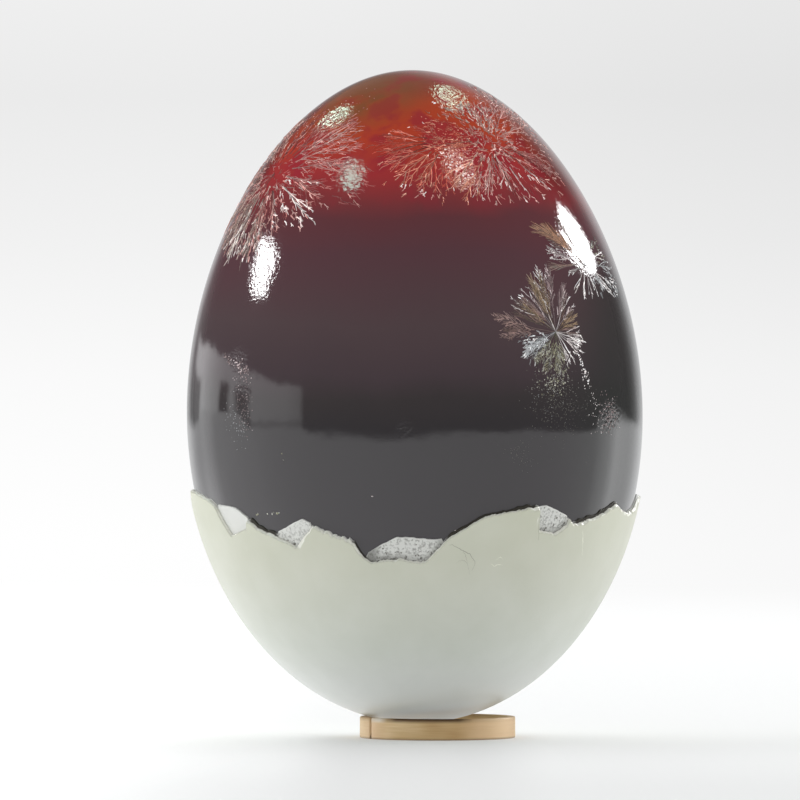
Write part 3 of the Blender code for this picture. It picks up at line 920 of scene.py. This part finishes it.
palettes = {
    "amber": ["#5e4a3e", "#76603f", "#6b5540", "#8a7358", "#54443a", "#94806c"],
    "gold": ["#7d5c48", "#946f55", "#6b4841", "#a98065"],
    "russet": ["#5e4b46", "#6e5650", "#524036", "#7a6058"],
    "rosy": ["#7c6662", "#8a716c", "#6b5550", "#947a73"],
    "mauve": ["#7a6867", "#8b797a", "#635150", "#a39293", "#cbbdbe"],
    "white": ["#dad3d3", "#b4acab", "#8e8685", "#f2eeec"],
    "frosty": ["#8a8d90", "#9a9e9f", "#c4c6c9", "#5b5a5b", "#d9dcde", "#77787a"],
    "silver": ["#6b6963", "#84827b", "#a5a49d", "#4b4945", "#7d7a62", "#95947f", "#c2c2b6"],
    "bright": ["#f6f3f2", "#e4dcda", "#ffffff"],
    "grain": ["#454341", "#4e4c49", "#575550", "#64625d", "#514e48"],
    "pink": ["#9a5552", "#b0716c", "#c8978f", "#803c3c"],
    "frost": ["#c08984", "#d3a8a1", "#a86a66", "#e0c4bd", "#95524f"],
    "glitter": ["#f0dcd8", "#fbf3f0", "#dcb0aa", "#c08a84"],
    "olive": ["#6b524b", "#7b635a", "#8e7a6e", "#a99789"],
    "pale": ["#a18e84", "#bba99e", "#dccfc6", "#8c756c", "#efe6e0"],
    "salmon": ["#b04a3a", "#be6253", "#9c3a2c", "#cf8676"],
    "beige": ["#ad5843", "#bd6e59", "#d18b74", "#e6b09a"],
    "lace": ["#a8736c", "#bb8f86", "#cba89f", "#8f5a54"],
}
# Each flower has its azimuth, its height, its fronds and its tufts. Fronds of one look and palette stand
# together, each with its heading in degrees round from the right and its length in mm. A tuft has headings
# from and to, distances from and to, how many needles, their length and width in mm, and a palette.
flowers = {
    "flowerRight": [
        (39.3, 38.8, [
            ("plume", "rosy", (177, 6.9), (182, 6.0), (172, 6.0)),
            ("blade", "russet", (155, 4.6), (149, 4.8)), ("blade", "amber", (143, 4.2)),
            ("blade", "russet", (128, 4.4)),
            ("blade", "amber", (121, 5.0), (113, 5.6), (107, 5.2), (99, 5.6)),
            ("plume", "mauve", (93, 5.3)), ("rib", "mauve", (118, 5.6)), ("thread", "bright", (96, 6.6)),
            ("blade", "amber", (38, 3.2)), ("fork", "white", (139, 5.6)), ("fork", "mauve", (131, 4.9)),
            ("rib", "white", (103, 5.1)), ("plume", "mauve", (84, 6.6)), ("feather", "mauve", (88, 5.8)),
            ("blade", "mauve", (78, 5.0), (67, 4.2)), ("blade", "russet", (60, 3.6)),
            ("fork", "white", (57, 4.6)), ("feather", "mauve", (51, 4.0)),
            ("blade", "amber", (25, 3.4), (18, 3.0)), ("blade", "russet", (10, 2.6), (3, 2.8)),
            ("fork", "white", (-6, 3.4), (-17, 3.8), (-29, 3.5)), ("fork", "bright", (-41, 3.7)),
            ("rib", "bright", (-52, 3.5)), ("fork", "white", (-62, 3.3)),
            ("fern", "silver", (-75, 3.0), (-89, 3.8), (-102, 4.0), (-114, 4.2), (-127, 4.1)),
            ("fern", "frosty", (-139, 4.3), (-150, 4.7), (-161, 4.4), (-171, 4.1))], [
            (-178, -138, 1.2, 4.3, 44, 0.5, 0.2, "frosty"),
            (-140, -76, 1.4, 4.0, 60, 0.5, 0.18, "silver"), (-60, 0, 2.0, 3.6, 16, 0.5, 0.16, "white"),
            (-178, -146, 2.0, 4.4, 9, 0.4, 0.2, "bright")]),
    ],
    "flowerGlint": [
        (56.3, 45.5, [
            ("blade", "gold", (129, 6.7), (135, 6.3), (123, 5.6), (142, 5.6)),
            ("blade", "russet", (117, 4.8)), ("plume", "russet", (148, 5.0)),
            ("fork", "white", (160, 5.0)), ("feather", "mauve", (168, 4.6)),
            ("blade", "russet", (176, 5.0)), ("fork", "white", (-157, 2.9)),
            ("rib", "bright", (-129, 3.9), (-108, 3.9)), ("rib", "white", (-90, 3.4)),
            ("rib", "bright", (-66, 3.3)), ("fork", "frosty", (-40, 3.6)),
            ("fork", "bright", (-22, 5.6)), ("fork", "frosty", (-12, 6.4)), ("rib", "bright", (16, 5.2)),
            ("feather", "silver", (30, 4.4)), ("thread", "mauve", (92, 5.6))], [
            (-30, -8, 3.8, 6.6, 34, 0.5, 0.2, "frosty"), (-28, -10, 4.2, 6.4, 14, 0.4, 0.2, "bright"),
            (-64, -40, 1.8, 3.6, 18, 0.5, 0.18, "frosty"), (150, 172, 2.2, 4.8, 20, 0.45, 0.18, "white"),
            (4, 34, 2.5, 5.2, 20, 0.5, 0.18, "silver")]),
    ],
    "flowerLeft": [
        (-60.5, 54.9, [
            ("streak", "glitter", (-14, 7.4), (-21, 9.8), (-31, 8.6), (-39, 8.0), (-50, 7.0)),
            ("streak", "pink", (-60, 6.8)), ("coral", "pink", (-5, 8.6)),
            ("coral", "frost", (12, 9.6), (27, 10.0), (41, 9.6)),
            ("coral", "pink", (57, 9.0), (76, 8.4), (96, 6.2)), ("coral", "frost", (-66, 7.6)),
            ("streak", "glitter", (-76, 9.4)), ("coral", "pale", (-85, 9.9)),
            ("streak", "glitter", (-93, 8.6)), ("coral", "pale", (-102, 9.6)),
            ("fern", "olive", (-109, 8.8), (-118, 9.4)), ("coral", "pink", (124, 8.8)),
            ("coral", "lace", (150, 8.0), (172, 8.6)), ("fern", "olive", (192, 8.0), (216, 8.4))], [
            (14, 62, 3.6, 9.6, 150, 0.7, 0.17, "frost"), (60, 104, 3.0, 8.6, 50, 0.6, 0.16, "pink"),
            (-10, 16, 3.0, 11.4, 60, 0.8, 0.17, "pink"), (-40, -8, 2.0, 9.8, 28, 0.7, 0.26, "glitter"),
            (-66, -38, 1.8, 7.6, 24, 0.7, 0.26, "glitter"), (-70, -8, 1.6, 7.6, 50, 0.8, 0.18, "pink"),
            (-92, -68, 6.0, 9.4, 26, 0.5, 0.26, "glitter"), (-118, -66, 1.5, 8.6, 70, 0.8, 0.2, "pale"),
            (-180, 180, 0.0, 2.8, 60, 0.6, 0.2, "pink"), (100, 250, 1.0, 9.0, 140, 0.9, 0.2, "lace")]),
    ],
    "flowerCrown": [
        (14.0, 57.8, [
            ("coral", "salmon", (174, 7.2), (-173, 6.4), (-161, 6.6), (-149, 6.8)),
            ("coral", "beige", (-138, 6.8)), ("coral", "salmon", (-127, 6.6)),
            ("coral", "beige", (-114, 6.2)), ("coral", "salmon", (-102, 5.8), (158, 6.0)),
            ("thread", "salmon", (141, 3.8)), ("thread", "beige", (120, 3.0), (-90, 6.0))], [
            (150, 262, 1.4, 5.6, 30, 0.6, 0.16, "salmon"), (-168, -96, 5.0, 7.4, 16, 0.6, 0.17, "beige"),
            (-140, -100, 5.8, 7.2, 12, 0.45, 0.22, "glitter")]),
        (34.0, 57.7, [
            ("coral", "beige", (-141, 7.6), (-132, 8.2)), ("shard", "glitter", (-123, 7.2)),
            ("coral", "pink", (-114, 6.8)), ("shard", "glitter", (-104, 6.2)),
            ("coral", "pink", (-97, 5.0), (-89, 6.2)), ("coral", "frost", (-78, 5.2)),
            ("shard", "glitter", (-63, 5.8), (-50, 7.4)), ("coral", "pink", (-40, 6.6), (-20, 7.6)),
            ("coral", "lace", (-2, 8.0), (24, 7.2)), ("coral", "frost", (42, 8.6), (60, 6.8)),
            ("coral", "lace", (80, 5.6)), ("coral", "beige", (168, 6.6), (-172, 5.8))], [
            (-180, 180, 0.0, 2.6, 120, 0.6, 0.2, "lace"), (130, 235, 0.8, 6.6, 110, 0.5, 0.17, "beige"),
            (-140, -45, 1.5, 6.6, 50, 0.8, 0.18, "pink"),
            (-132, -48, 3.4, 7.4, 20, 0.6, 0.22, "glitter"), (-60, 60, 0.4, 3.2, 44, 0.6, 0.24, "frost"),
            (28, 72, 3.0, 10.0, 110, 0.8, 0.17, "frost"), (-40, 30, 2.0, 9.0, 90, 0.7, 0.17, "lace"),
            (60, 130, 1.0, 6.0, 60, 0.6, 0.16, "lace"), (48, 118, 0.8, 5.4, 90, 0.6, 0.18, "pale")]),
    ],
    "flowersBehind": [
        (148.0, 41.0, [
            ("blade", "amber", (12, 5.4), (21, 5.8)), ("fork", "white", (34, 5.0)),
            ("plume", "mauve", (58, 5.6), (69, 5.2)), ("blade", "russet", (88, 4.6)),
            ("blade", "amber", (104, 5.4)), ("fork", "white", (119, 5.0)),
            ("plume", "rosy", (146, 5.8), (158, 5.2)), ("fork", "frosty", (181, 4.2)),
            ("fern", "frosty", (-160, 3.8)), ("fern", "silver", (-142, 4.4), (-121, 4.2), (-98, 4.6)),
            ("fork", "white", (-74, 3.8)), ("rib", "bright", (-51, 4.2)), ("fork", "white", (-28, 3.8)),
            ("blade", "russet", (-9, 4.6))], [
            (-170, -70, 1.4, 4.2, 60, 0.5, 0.18, "silver")]),
        (-128.0, 46.5, [
            ("blade", "gold", (40, 6.0), (50, 6.4), (61, 5.4)), ("feather", "mauve", (84, 4.4)),
            ("rib", "bright", (110, 5.0)), ("fork", "white", (138, 4.2)), ("fork", "frosty", (170, 4.8)),
            ("rib", "bright", (-155, 4.0)), ("fork", "frosty", (-124, 4.4)),
            ("rib", "white", (-92, 4.0)), ("fork", "bright", (-60, 4.6)),
            ("feather", "silver", (-25, 4.4)), ("fork", "white", (8, 4.8))], [
            (-180, 0, 1.8, 4.2, 60, 0.5, 0.18, "frosty")]),
        (178.0, 57.5, [
            ("coral", "pink", (-160, 8.4)), ("streak", "glitter", (-140, 7.6)),
            ("coral", "frost", (-120, 8.6)), ("streak", "glitter", (-100, 7.2)),
            ("coral", "pink", (-80, 8.4)), ("streak", "glitter", (-60, 7.4)),
            ("coral", "frost", (-40, 8.8)), ("coral", "pink", (-20, 8.0)),
            ("coral", "lace", (2, 8.4), (28, 7.6)), ("coral", "frost", (60, 6.4)),
            ("coral", "lace", (95, 6.0), (130, 7.0)), ("coral", "frost", (170, 8.0))], [
            (-180, 180, 1.5, 8.5, 160, 0.7, 0.18, "pink"),
            (-140, -40, 4.0, 7.6, 40, 0.6, 0.24, "glitter")]),
    ],
}


def newSketch():
    return {"points": [], "edges": [], "halfWidths": [], "tints": [], "drops": [], "turns": []}


def walk(draw, start, length, steps, wander, curl):  # a line that wanders a little; start is x, y and heading
    x, y, heading = start
    line = [start]
    for _ in range(steps):
        heading += draw.gauss(0, wander) + curl / steps
        x += math.cos(heading) * length / steps
        y += math.sin(heading) * length / steps
        line.append((x, y, heading))
    return line


def growBarbs(draw, stem, length, look, palette, lines):  # both sides of a stem, longest in its middle
    steps = len(stem) - 1
    count = max(2, round(length * (1 - look["first"]) / look["spacing"]))
    for i in range(count):
        share = look["first"] + (1 - look["first"]) * (i + draw.random()) / count
        x, y, direction = stem[min(steps, round(share * steps))]
        side = 1 if i % 2 else -1
        fit = min(1.0, 0.35 + (share - look["first"]) / 0.25, (1.12 - share) / 0.4)
        reach = look["reach"] * length * fit * draw.uniform(0.65, 1.1)
        angle = math.radians(look["angle"]) * draw.uniform(0.7, 1.3)
        barb = walk(draw, (x, y, direction + side * angle), reach, 4, 0.07, -side * angle * 0.4)
        colour = draw.choice(palette) if draw.random() < 0.35 else lines[0][2]
        lines.append((barb, look["barb"] * draw.uniform(0.6, 1.1), colour))
        for twig in range(look["twigs"]):
            tx, ty, heading = barb[1 + twig % 4]
            tilt = (1 if twig % 2 else -1) * draw.uniform(0.4, 0.8)
            stalk = walk(draw, (tx, ty, heading + tilt), reach * draw.uniform(0.15, 0.34), 2, 0.1, 0.0)
            lines.append((stalk, look["barb"] * 0.7, colour))


def growFrond(draw, heading, length, look, palette):  # its lines, each with a width and a colour
    stem = walk(draw, (0.0, 0.0, math.radians(heading)), length, 14, 0.045, draw.uniform(-0.15, 0.15))
    lines = [(stem[round(look["start"] * 14):], look["stem"], draw.choice(palette))]
    growBarbs(draw, stem, length, look, palette, lines)
    stems = [stem]
    for i in range(look["forks"]):
        share = draw.uniform(0.35, 0.6)
        x, y, direction = stem[round(share * 14)]
        side = 1 if i % 2 else -1
        rest = length * (1 - share) * draw.uniform(0.75, 0.95)
        fork = walk(draw, (x, y, direction + side * draw.uniform(0.3, 0.45)), rest, 8, 0.05, -side * 0.3)
        lines.append((fork, look["stem"] * 0.85, draw.choice(palette)))
        growBarbs(draw, fork, rest * 1.2, look, palette, lines)
        stems.append(fork)
    for i in range(look["tips"]):
        x, y, direction = stems[i % len(stems)][-1 - draw.randrange(4)]
        needle = walk(draw, (x, y, direction + draw.uniform(-0.7, 0.7)), draw.uniform(0.25, 0.5), 2, 0.1, 0.0)
        lines.append((needle, draw.uniform(0.13, 0.2), draw.choice(palettes["bright"])))
    return lines


paintedGlints = (0.5, 0.72, 0.88, 1.0, 1.15, 1.45)     # needles lie at all angles, so each catches its own light: painted as a tint made brighter than its colour for some and darker for others


def addPoint(sketch, place, halfWidth, tint, out, turn=0.0, joined=False):
    if joined:       # by an edge to the point before it
        sketch["edges"].append((len(sketch["points"]) - 1, len(sketch["points"])))
    sketch["points"].append(place)
    sketch["halfWidths"].append(halfWidth)
    sketch["tints"] += tint
    sketch["drops"] += list(-out)
    sketch["turns"].append(turn)


def addLine(sketch, axes, line, width, colour, shade, dim=0.85):  # dim: how bright it starts
    centre, right, up, out = axes
    for j, (x, y, _) in enumerate(line):
        share = j / (len(line) - 1)
        tint = [c * shade * (dim + (1 - dim) * share) for c in linear(colour)]
        place = centre + (right * x + up * y) * mm + out * 3 * mm
        addPoint(sketch, place, width / 2 * (1 - 0.5 * share) * mm, tint, out, joined=j > 0)


def drawTufts(sketch, draw, axes, tufts):  # short needles that fork away from the flower's centre
    first, last, near, far, count, length, width, palette = tufts
    for _ in range(count):
        heading = math.radians(draw.uniform(first, last))
        gap = math.sqrt(draw.uniform(near ** 2, far ** 2))
        astray = 0.3 + 1.3 * math.exp(-(gap / 1.3) ** 2)      # near the centre they lie in all directions
        start = (gap * math.cos(heading), gap * math.sin(heading), heading + draw.gauss(0, astray))
        colour = draw.choice(palettes[palette])
        stalk = walk(draw, start, length * draw.uniform(0.5, 1.3), 2, 0.15, draw.uniform(-0.3, 0.3))
        addLine(sketch, axes, stalk, width * draw.uniform(0.7, 1.2), colour, draw.choice(paintedGlints))
        for side in (-1, 1):
            if draw.random() < 0.75:
                x, y, along = stalk[draw.choice((0, 1, 1))]
                needle = walk(draw, (x, y, along + side * draw.uniform(0.5, 0.9)),
                              length * draw.uniform(0.25, 0.7), 2, 0.15, -side * 0.3)
                addLine(sketch, axes, needle, width * draw.uniform(0.6, 0.95), colour, draw.choice(paintedGlints))


def drawFlower(sketch, draw, flower):
    azimuth, height, fronds, tufts = flower
    right, up, out = axesAt(azimuth, height)
    axes = Vector(onEgg(azimuth, angleAt(height))), right, up, out
    for look, palette, *stems in fronds:
        for heading, length in stems:
            lines = growFrond(draw, heading, length, frondLooks[look], palettes[palette])
            for i, (line, width, colour) in enumerate(lines):
                addLine(sketch, axes, line, width, colour, draw.choice(paintedGlints), 0.4 if i == 0 else 0.85)
    for tuft in tufts:
        drawTufts(sketch, draw, axes, tuft)


# specks: from and to (azimuth, height), how many, spread in mm, smallest and largest in mm, palette
speckTrails = [
    ((46.6, 36.4), (49.4, 33.4), 30, 0.16, 0.12, 0.26, "bright"),
    ((48.6, 34.2), (52.6, 31.2), 22, 0.30, 0.08, 0.18, "white"),
    ((51.0, 32.0), (53.6, 28.4), 24, 0.70, 0.07, 0.16, "white"),
    ((46.8, 35.0), (47.6, 33.0), 12, 0.05, 0.10, 0.18, "white"),
    ((43.0, 33.4), (49.0, 28.6), 70, 1.7, 0.05, 0.11, "grain"),
    ((35.0, 34.3), (40.0, 33.9), 240, 0.8, 0.08, 0.20, "silver"),
    ((34.5, 33.0), (40.5, 31.0), 380, 1.5, 0.07, 0.17, "grain"),
    ((33.0, 33.0), (41.0, 30.6), 30, 1.4, 0.05, 0.11, "frosty"),
    ((26.0, 27.2), (28.5, 26.4), 60, 0.7, 0.06, 0.14, "grain"),
    ((56.6, 30.8), (58.8, 29.8), 170, 0.9, 0.08, 0.17, "mauve"),
    ((-57.5, 37.0), (-47.0, 35.2), 60, 0.28, 0.10, 0.24, "mauve"),
    ((-50.4, 36.4), (-46.4, 34.4), 46, 0.35, 0.10, 0.24, "mauve"),
    ((-49.6, 34.6), (-46.8, 29.6), 150, 0.6, 0.06, 0.13, "mauve"),
    ((-53.5, 31.8), (-48.6, 28.8), 90, 0.8, 0.06, 0.12, "frosty"),
    ((-35.4, 27.4), (-34.2, 25.3), 3, 0.05, 0.14, 0.20, "silver"),
    ((-11.3, 22.8), (-11.0, 22.8), 1, 0.02, 0.20, 0.24, "white"),
    ((-49.1, 21.0), (-38.0, 21.2), 10, 0.04, 0.16, 0.30, "silver"),
    ((15.6, 20.2), (15.9, 20.2), 3, 0.12, 0.2, 0.34, "bright"),
    ((10.5, 19.3), (10.7, 19.3), 1, 0.05, 0.24, 0.3, "white"),
    ((13.9, 61.9), (14.1, 61.5), 3, 0.06, 0.24, 0.34, "bright"),
    # pale crystal specks, partly a painted highlight where the gloss breaks up over them
    ((13.0, 57.0), (20.5, 53.8), 130, 0.5, 0.12, 0.30, "glitter"),
    ((-66.0, 58.5), (-34.0, 61.5), 110, 1.4, 0.10, 0.22, "frost"),
    ((10.0, 58.8), (26.0, 57.0), 160, 1.1, 0.09, 0.20, "beige"),
    ((30.0, 58.5), (60.0, 57.0), 110, 1.6, 0.10, 0.22, "lace"),
    ((50.0, 62.6), (72.0, 59.6), 150, 1.0, 0.10, 0.24, "lace"),
]


def drawSpecks(sketch, draw, trail):
    start, end, count, spread, smallest, largest, palette = trail
    for _ in range(count):
        share = draw.random()
        azimuth = start[0] + (end[0] - start[0]) * share
        height = start[1] + (end[1] - start[1]) * share
        right, up, out = axesAt(azimuth, height)
        place = Vector(onEgg(azimuth, angleAt(height))) + out * 2 * mm
        place += (right * draw.gauss(0, spread) + up * draw.gauss(0, spread)) * mm
        halfWidth = draw.uniform(smallest, largest) / 2 * mm
        tint = linear(draw.choice(palettes[palette]))
        addPoint(sketch, place, halfWidth, tint, out, draw.uniform(0, 2 * math.pi))


def sketchObject(name, sketch):
    mesh = bpy.data.meshes.new(name)
    mesh.from_pydata(sketch["points"], sketch["edges"], [])
    for field, kind, slot, values in (
        ("halfWidth", "FLOAT", "value", "halfWidths"), ("turn", "FLOAT", "value", "turns"),
        ("tint", "FLOAT_COLOR", "color", "tints"), ("drop", "FLOAT_VECTOR", "vector", "drops"),
    ):
        mesh.attributes.new(field, kind, "POINT").data.foreach_set(slot, sketch[values])
    piece = bpy.data.objects.new(name, mesh)
    scene.collection.objects.link(piece)
    return piece


def readNamed(tree, name, kind):
    return addNode(tree, "GeometryNodeInputNamedAttribute", {"Name": name}, data_type=kind)[0]


def startTree(name, inputs):  # a tree that drops points onto a surface and notes which way the surface faces
    tree = bpy.data.node_groups.new(name, "GeometryNodeTree")
    always = [("Sketch", "Geometry"), ("Surface", "Object"), ("Sink", "Float"), ("Finish", "Material")]
    for label, kind in always + inputs:
        tree.interface.new_socket(name=label, in_out="INPUT", socket_type="NodeSocket" + kind)
    tree.interface.new_socket(name="Result", in_out="OUTPUT", socket_type="NodeSocketGeometry")
    given = addNode(tree, "NodeGroupInput")
    ground = addNode(tree, "GeometryNodeObjectInfo", {"Object": given["Surface"]}, transform_space="RELATIVE")
    fall = addNode(tree, "GeometryNodeRaycast", {
        "Target Geometry": ground["Geometry"], "Ray Direction": readNamed(tree, "drop", "FLOAT_VECTOR"),
        "Ray Length": 0.05})
    missed = addNode(tree, "FunctionNodeBooleanMath", {0: fall["Is Hit"]}, operation="NOT")[0]
    landed = addNode(tree, "GeometryNodeDeleteGeometry", {
        "Geometry": given["Sketch"], "Selection": missed})[0]
    noted = addNode(tree, "GeometryNodeStoreNamedAttribute", {
        "Geometry": landed, "Name": "facing", "Value": fall["Hit Normal"]}, data_type="FLOAT_VECTOR")[0]
    sunk = addNode(tree, "ShaderNodeVectorMath", {0: fall["Hit Normal"], "Scale": given["Sink"]},
                   operation="SCALE")[0]
    place = addVector(tree, "SUBTRACT", fall["Hit Position"], sunk)[0]
    moved = addNode(tree, "GeometryNodeSetPosition", {"Geometry": noted, "Position": place})[0]
    facing = readNamed(tree, "facing", "FLOAT_VECTOR")
    return tree, given, moved, facing, readNamed(tree, "halfWidth", "FLOAT")


def endTree(tree, given, geometry):
    for name in ("facing", "drop", "halfWidth", "turn"):
        geometry = addNode(tree, "GeometryNodeRemoveAttribute", {"Geometry": geometry, "Name": name})[0]
    crisp = addNode(tree, "GeometryNodeSetShadeSmooth", {"Geometry": geometry, "Shade Smooth": False})[0]
    dressed = addNode(tree, "GeometryNodeSetMaterial", {"Geometry": crisp, "Material": given["Finish"]})[0]
    addNode(tree, "NodeGroupOutput", {0: dressed})
    return tree


def makeRidgeTree():  # sweeps a low three-sided ridge along each line
    tree, given, lines, facing, width = startTree("ridgesOnSurface", [("Ridge", "Float")])
    curves = addNode(tree, "GeometryNodeMeshToCurve", {"Mesh": lines})[0]
    turned = addNode(tree, "GeometryNodeSetCurveNormal", {"Curve": curves, "Normal": facing}, mode="FREE")[0]
    triangle = addNode(tree, "GeometryNodeCurvePrimitiveCircle", {"Resolution": 3, "Radius": 1.0})[0]
    flattened = addNode(tree, "ShaderNodeCombineXYZ", {0: given["Ridge"], 1: 1.0, 2: 1.0})[0]
    low = addNode(tree, "GeometryNodeTransform", {"Geometry": triangle, "Scale": flattened})[0]
    swept = addNode(tree, "GeometryNodeCurveToMesh", {
        "Curve": turned, "Profile Curve": low, "Scale": width, "Fill Caps": True})[0]
    return endTree(tree, given, addNode(tree, "GeometryNodeRealizeInstances", {"Geometry": swept})[0])


def makeFlakeTree():  # lays a small five-sided tablet at each point
    sizes = [("Thickness", "Float"), ("Slimness", "Float")]
    tree, given, points, facing, width = startTree("flakesOnSurface", sizes)
    tablet = addNode(tree, "GeometryNodeMeshCone", {
        "Vertices": 5, "Radius Top": 0.55, "Radius Bottom": 1.0, "Depth": given["Thickness"]})[0]
    slim = addNode(tree, "ShaderNodeCombineXYZ", {0: 1.0, 1: given["Slimness"], 2: 1.0})[0]
    shaped = addNode(tree, "GeometryNodeTransform", {"Geometry": tablet, "Scale": slim})[0]
    upright = addNode(tree, "FunctionNodeAlignRotationToVector", {"Vector": facing}, axis="Z")[0]
    about = addNode(tree, "ShaderNodeCombineXYZ", {2: readNamed(tree, "turn", "FLOAT")})[0]
    spun = addNode(tree, "FunctionNodeRotateRotation", {0: upright, 1: about}, rotation_space="LOCAL")[0]
    laid = addNode(tree, "GeometryNodeInstanceOnPoints", {
        "Points": points, "Instance": shaped, "Rotation": spun, "Scale": width})[0]
    return endTree(tree, given, addNode(tree, "GeometryNodeRealizeInstances", {"Geometry": laid})[0])


def bakeTree(piece, tree, **values):  # runs a node tree on a piece and keeps the result as a plain mesh
    modifier = piece.modifiers.new(tree.name, "NODES")
    modifier.node_group = tree
    for socket in tree.interface.items_tree:
        if socket.name in values:
            modifier[socket.identifier] = values[socket.name]
    evaluated = piece.evaluated_get(bpy.context.evaluated_depsgraph_get())
    baked = bpy.data.meshes.new_from_object(evaluated)
    piece.modifiers.clear()
    piece.data = baked
    baked.name = piece.name
    return piece


def addGrainyTint(tree, grain, low, high, bottom, top):  # each line's own colour, made uneven by a fine grain
    level = addNode(tree, "ShaderNodeMapRange", {
        "Value": addNoise(tree, addPlace(tree), grain, 2), "From Min": low, "From Max": high,
        "To Min": bottom, "To Max": top})[0]
    tint = readAttribute(tree, "tint", "Color")
    return addNode(tree, "ShaderNodeVectorMath", {0: tint, "Scale": level}, operation="SCALE")[0]


def makeCrystalMaterial():
    # Mineral salt and amino acid grown as needles in the jelly: silvery to amber, with small bright facets.
    # They glow a little, a painted glow for light that comes through the jelly.
    made, tree, shader = newMaterial("pineFlowerCrystal", {
        "Roughness": 0.3, "IOR": 1.5, "Emission Strength": 0.22})
    colour = addGrainyTint(tree, 0.3 * mm, 0.3, 0.7, 0.8, 1.3)
    setInputs(tree, shader, {"Base Color": colour, "Emission Color": colour})
    return made


ridgeTree = makeRidgeTree()
flakeTree = makeFlakeTree()
crystalFinish = makeCrystalMaterial()
for number, (name, places) in enumerate(flowers.items()):
    flowerDraw = random.Random(crystals["seed"] + number)
    sketch = newSketch()
    for flower in places:
        drawFlower(sketch, flowerDraw, flower)
    piece = sketchObject(name, sketch)
    bakeTree(piece, ridgeTree, Surface=eggWhite, Sink=crystals["sink"] * mm, Ridge=crystals["ridge"],
             Finish=crystalFinish)
    takePlace(piece, "egg_white")
speckDraw = random.Random(crystals["seed"] + 50)
sketch = newSketch()
for trail in speckTrails:
    drawSpecks(sketch, speckDraw, trail)
piece = sketchObject("crystalSpecks", sketch)
bakeTree(piece, flakeTree, Surface=eggWhite, Sink=0.0, Thickness=crystals["flakeThickness"],
         Slimness=crystals["flakeSlimness"], Finish=crystalFinish)
takePlace(piece, "egg_white")


print("Shell marks")
markRidge = 0.15             # a mark's height, as a share of its half width
# hairline cracks and scratches: width in mm, colour, then (azimuth, height) places
shellMarks = [
    (0.09, "#8f8f82", (8.6, 18.1), (9.5, 18.1), (12.2, 17.6), (14.5, 17.1), (16.1, 16.4), (15.5, 15.5)),
    (0.06, "#a3a396", (12.2, 17.6), (13.3, 17.0), (13.9, 16.3)),
    (0.06, "#a7a79a", (10.4, 16.3), (12.4, 16.6), (13.9, 16.3), (15.0, 15.1)),
    (0.16, "#e9ebdc", (49.2, 19.2), (49.9, 18.5), (50.6, 17.8), (51.7, 16.7)),
    (0.14, "#e6e8d8", (20.6, 16.2), (21.8, 15.9), (23.0, 16.1), (24.2, 16.0)),
    (0.10, "#e3e5d6", (22.0, 16.5), (23.2, 16.8), (24.0, 16.6)),
]


def makeMarkMaterial():
    # Cracks too fine to see into, and scratches down to the chalk: matt, and nearly as pale as the shell.
    made, tree, shader = newMaterial("markedEggshell", {"Roughness": 0.7, "IOR": 1.4})
    setInputs(tree, shader, {"Base Color": addGrainyTint(tree, 0.2 * mm, 0.0, 1.0, 0.7, 1.2)})
    return made


sketch = newSketch()
for width, colour, *places in shellMarks:
    fine = np.linspace(0, len(places) - 1, len(places) * 5)
    for j, share in enumerate(fine):
        azimuth = np.interp(share, range(len(places)), [p[0] for p in places]) + speckDraw.gauss(0, 0.06)
        height = np.interp(share, range(len(places)), [p[1] for p in places]) + speckDraw.gauss(0, 0.03)
        out = axesAt(azimuth, height)[2]
        halfWidth = width / 2 * mm * (1.2 - abs(2 * j / (len(fine) - 1) - 1))
        addPoint(sketch, Vector(onEgg(azimuth, angleAt(height))) + out * mm, halfWidth, linear(colour), out,
                 joined=j > 0)
piece = sketchObject("shellMarks", sketch)
bakeTree(piece, ridgeTree, Surface=duckShell, Sink=0.0, Ridge=markRidge, Finish=makeMarkMaterial())
takePlace(piece, "eggshell")
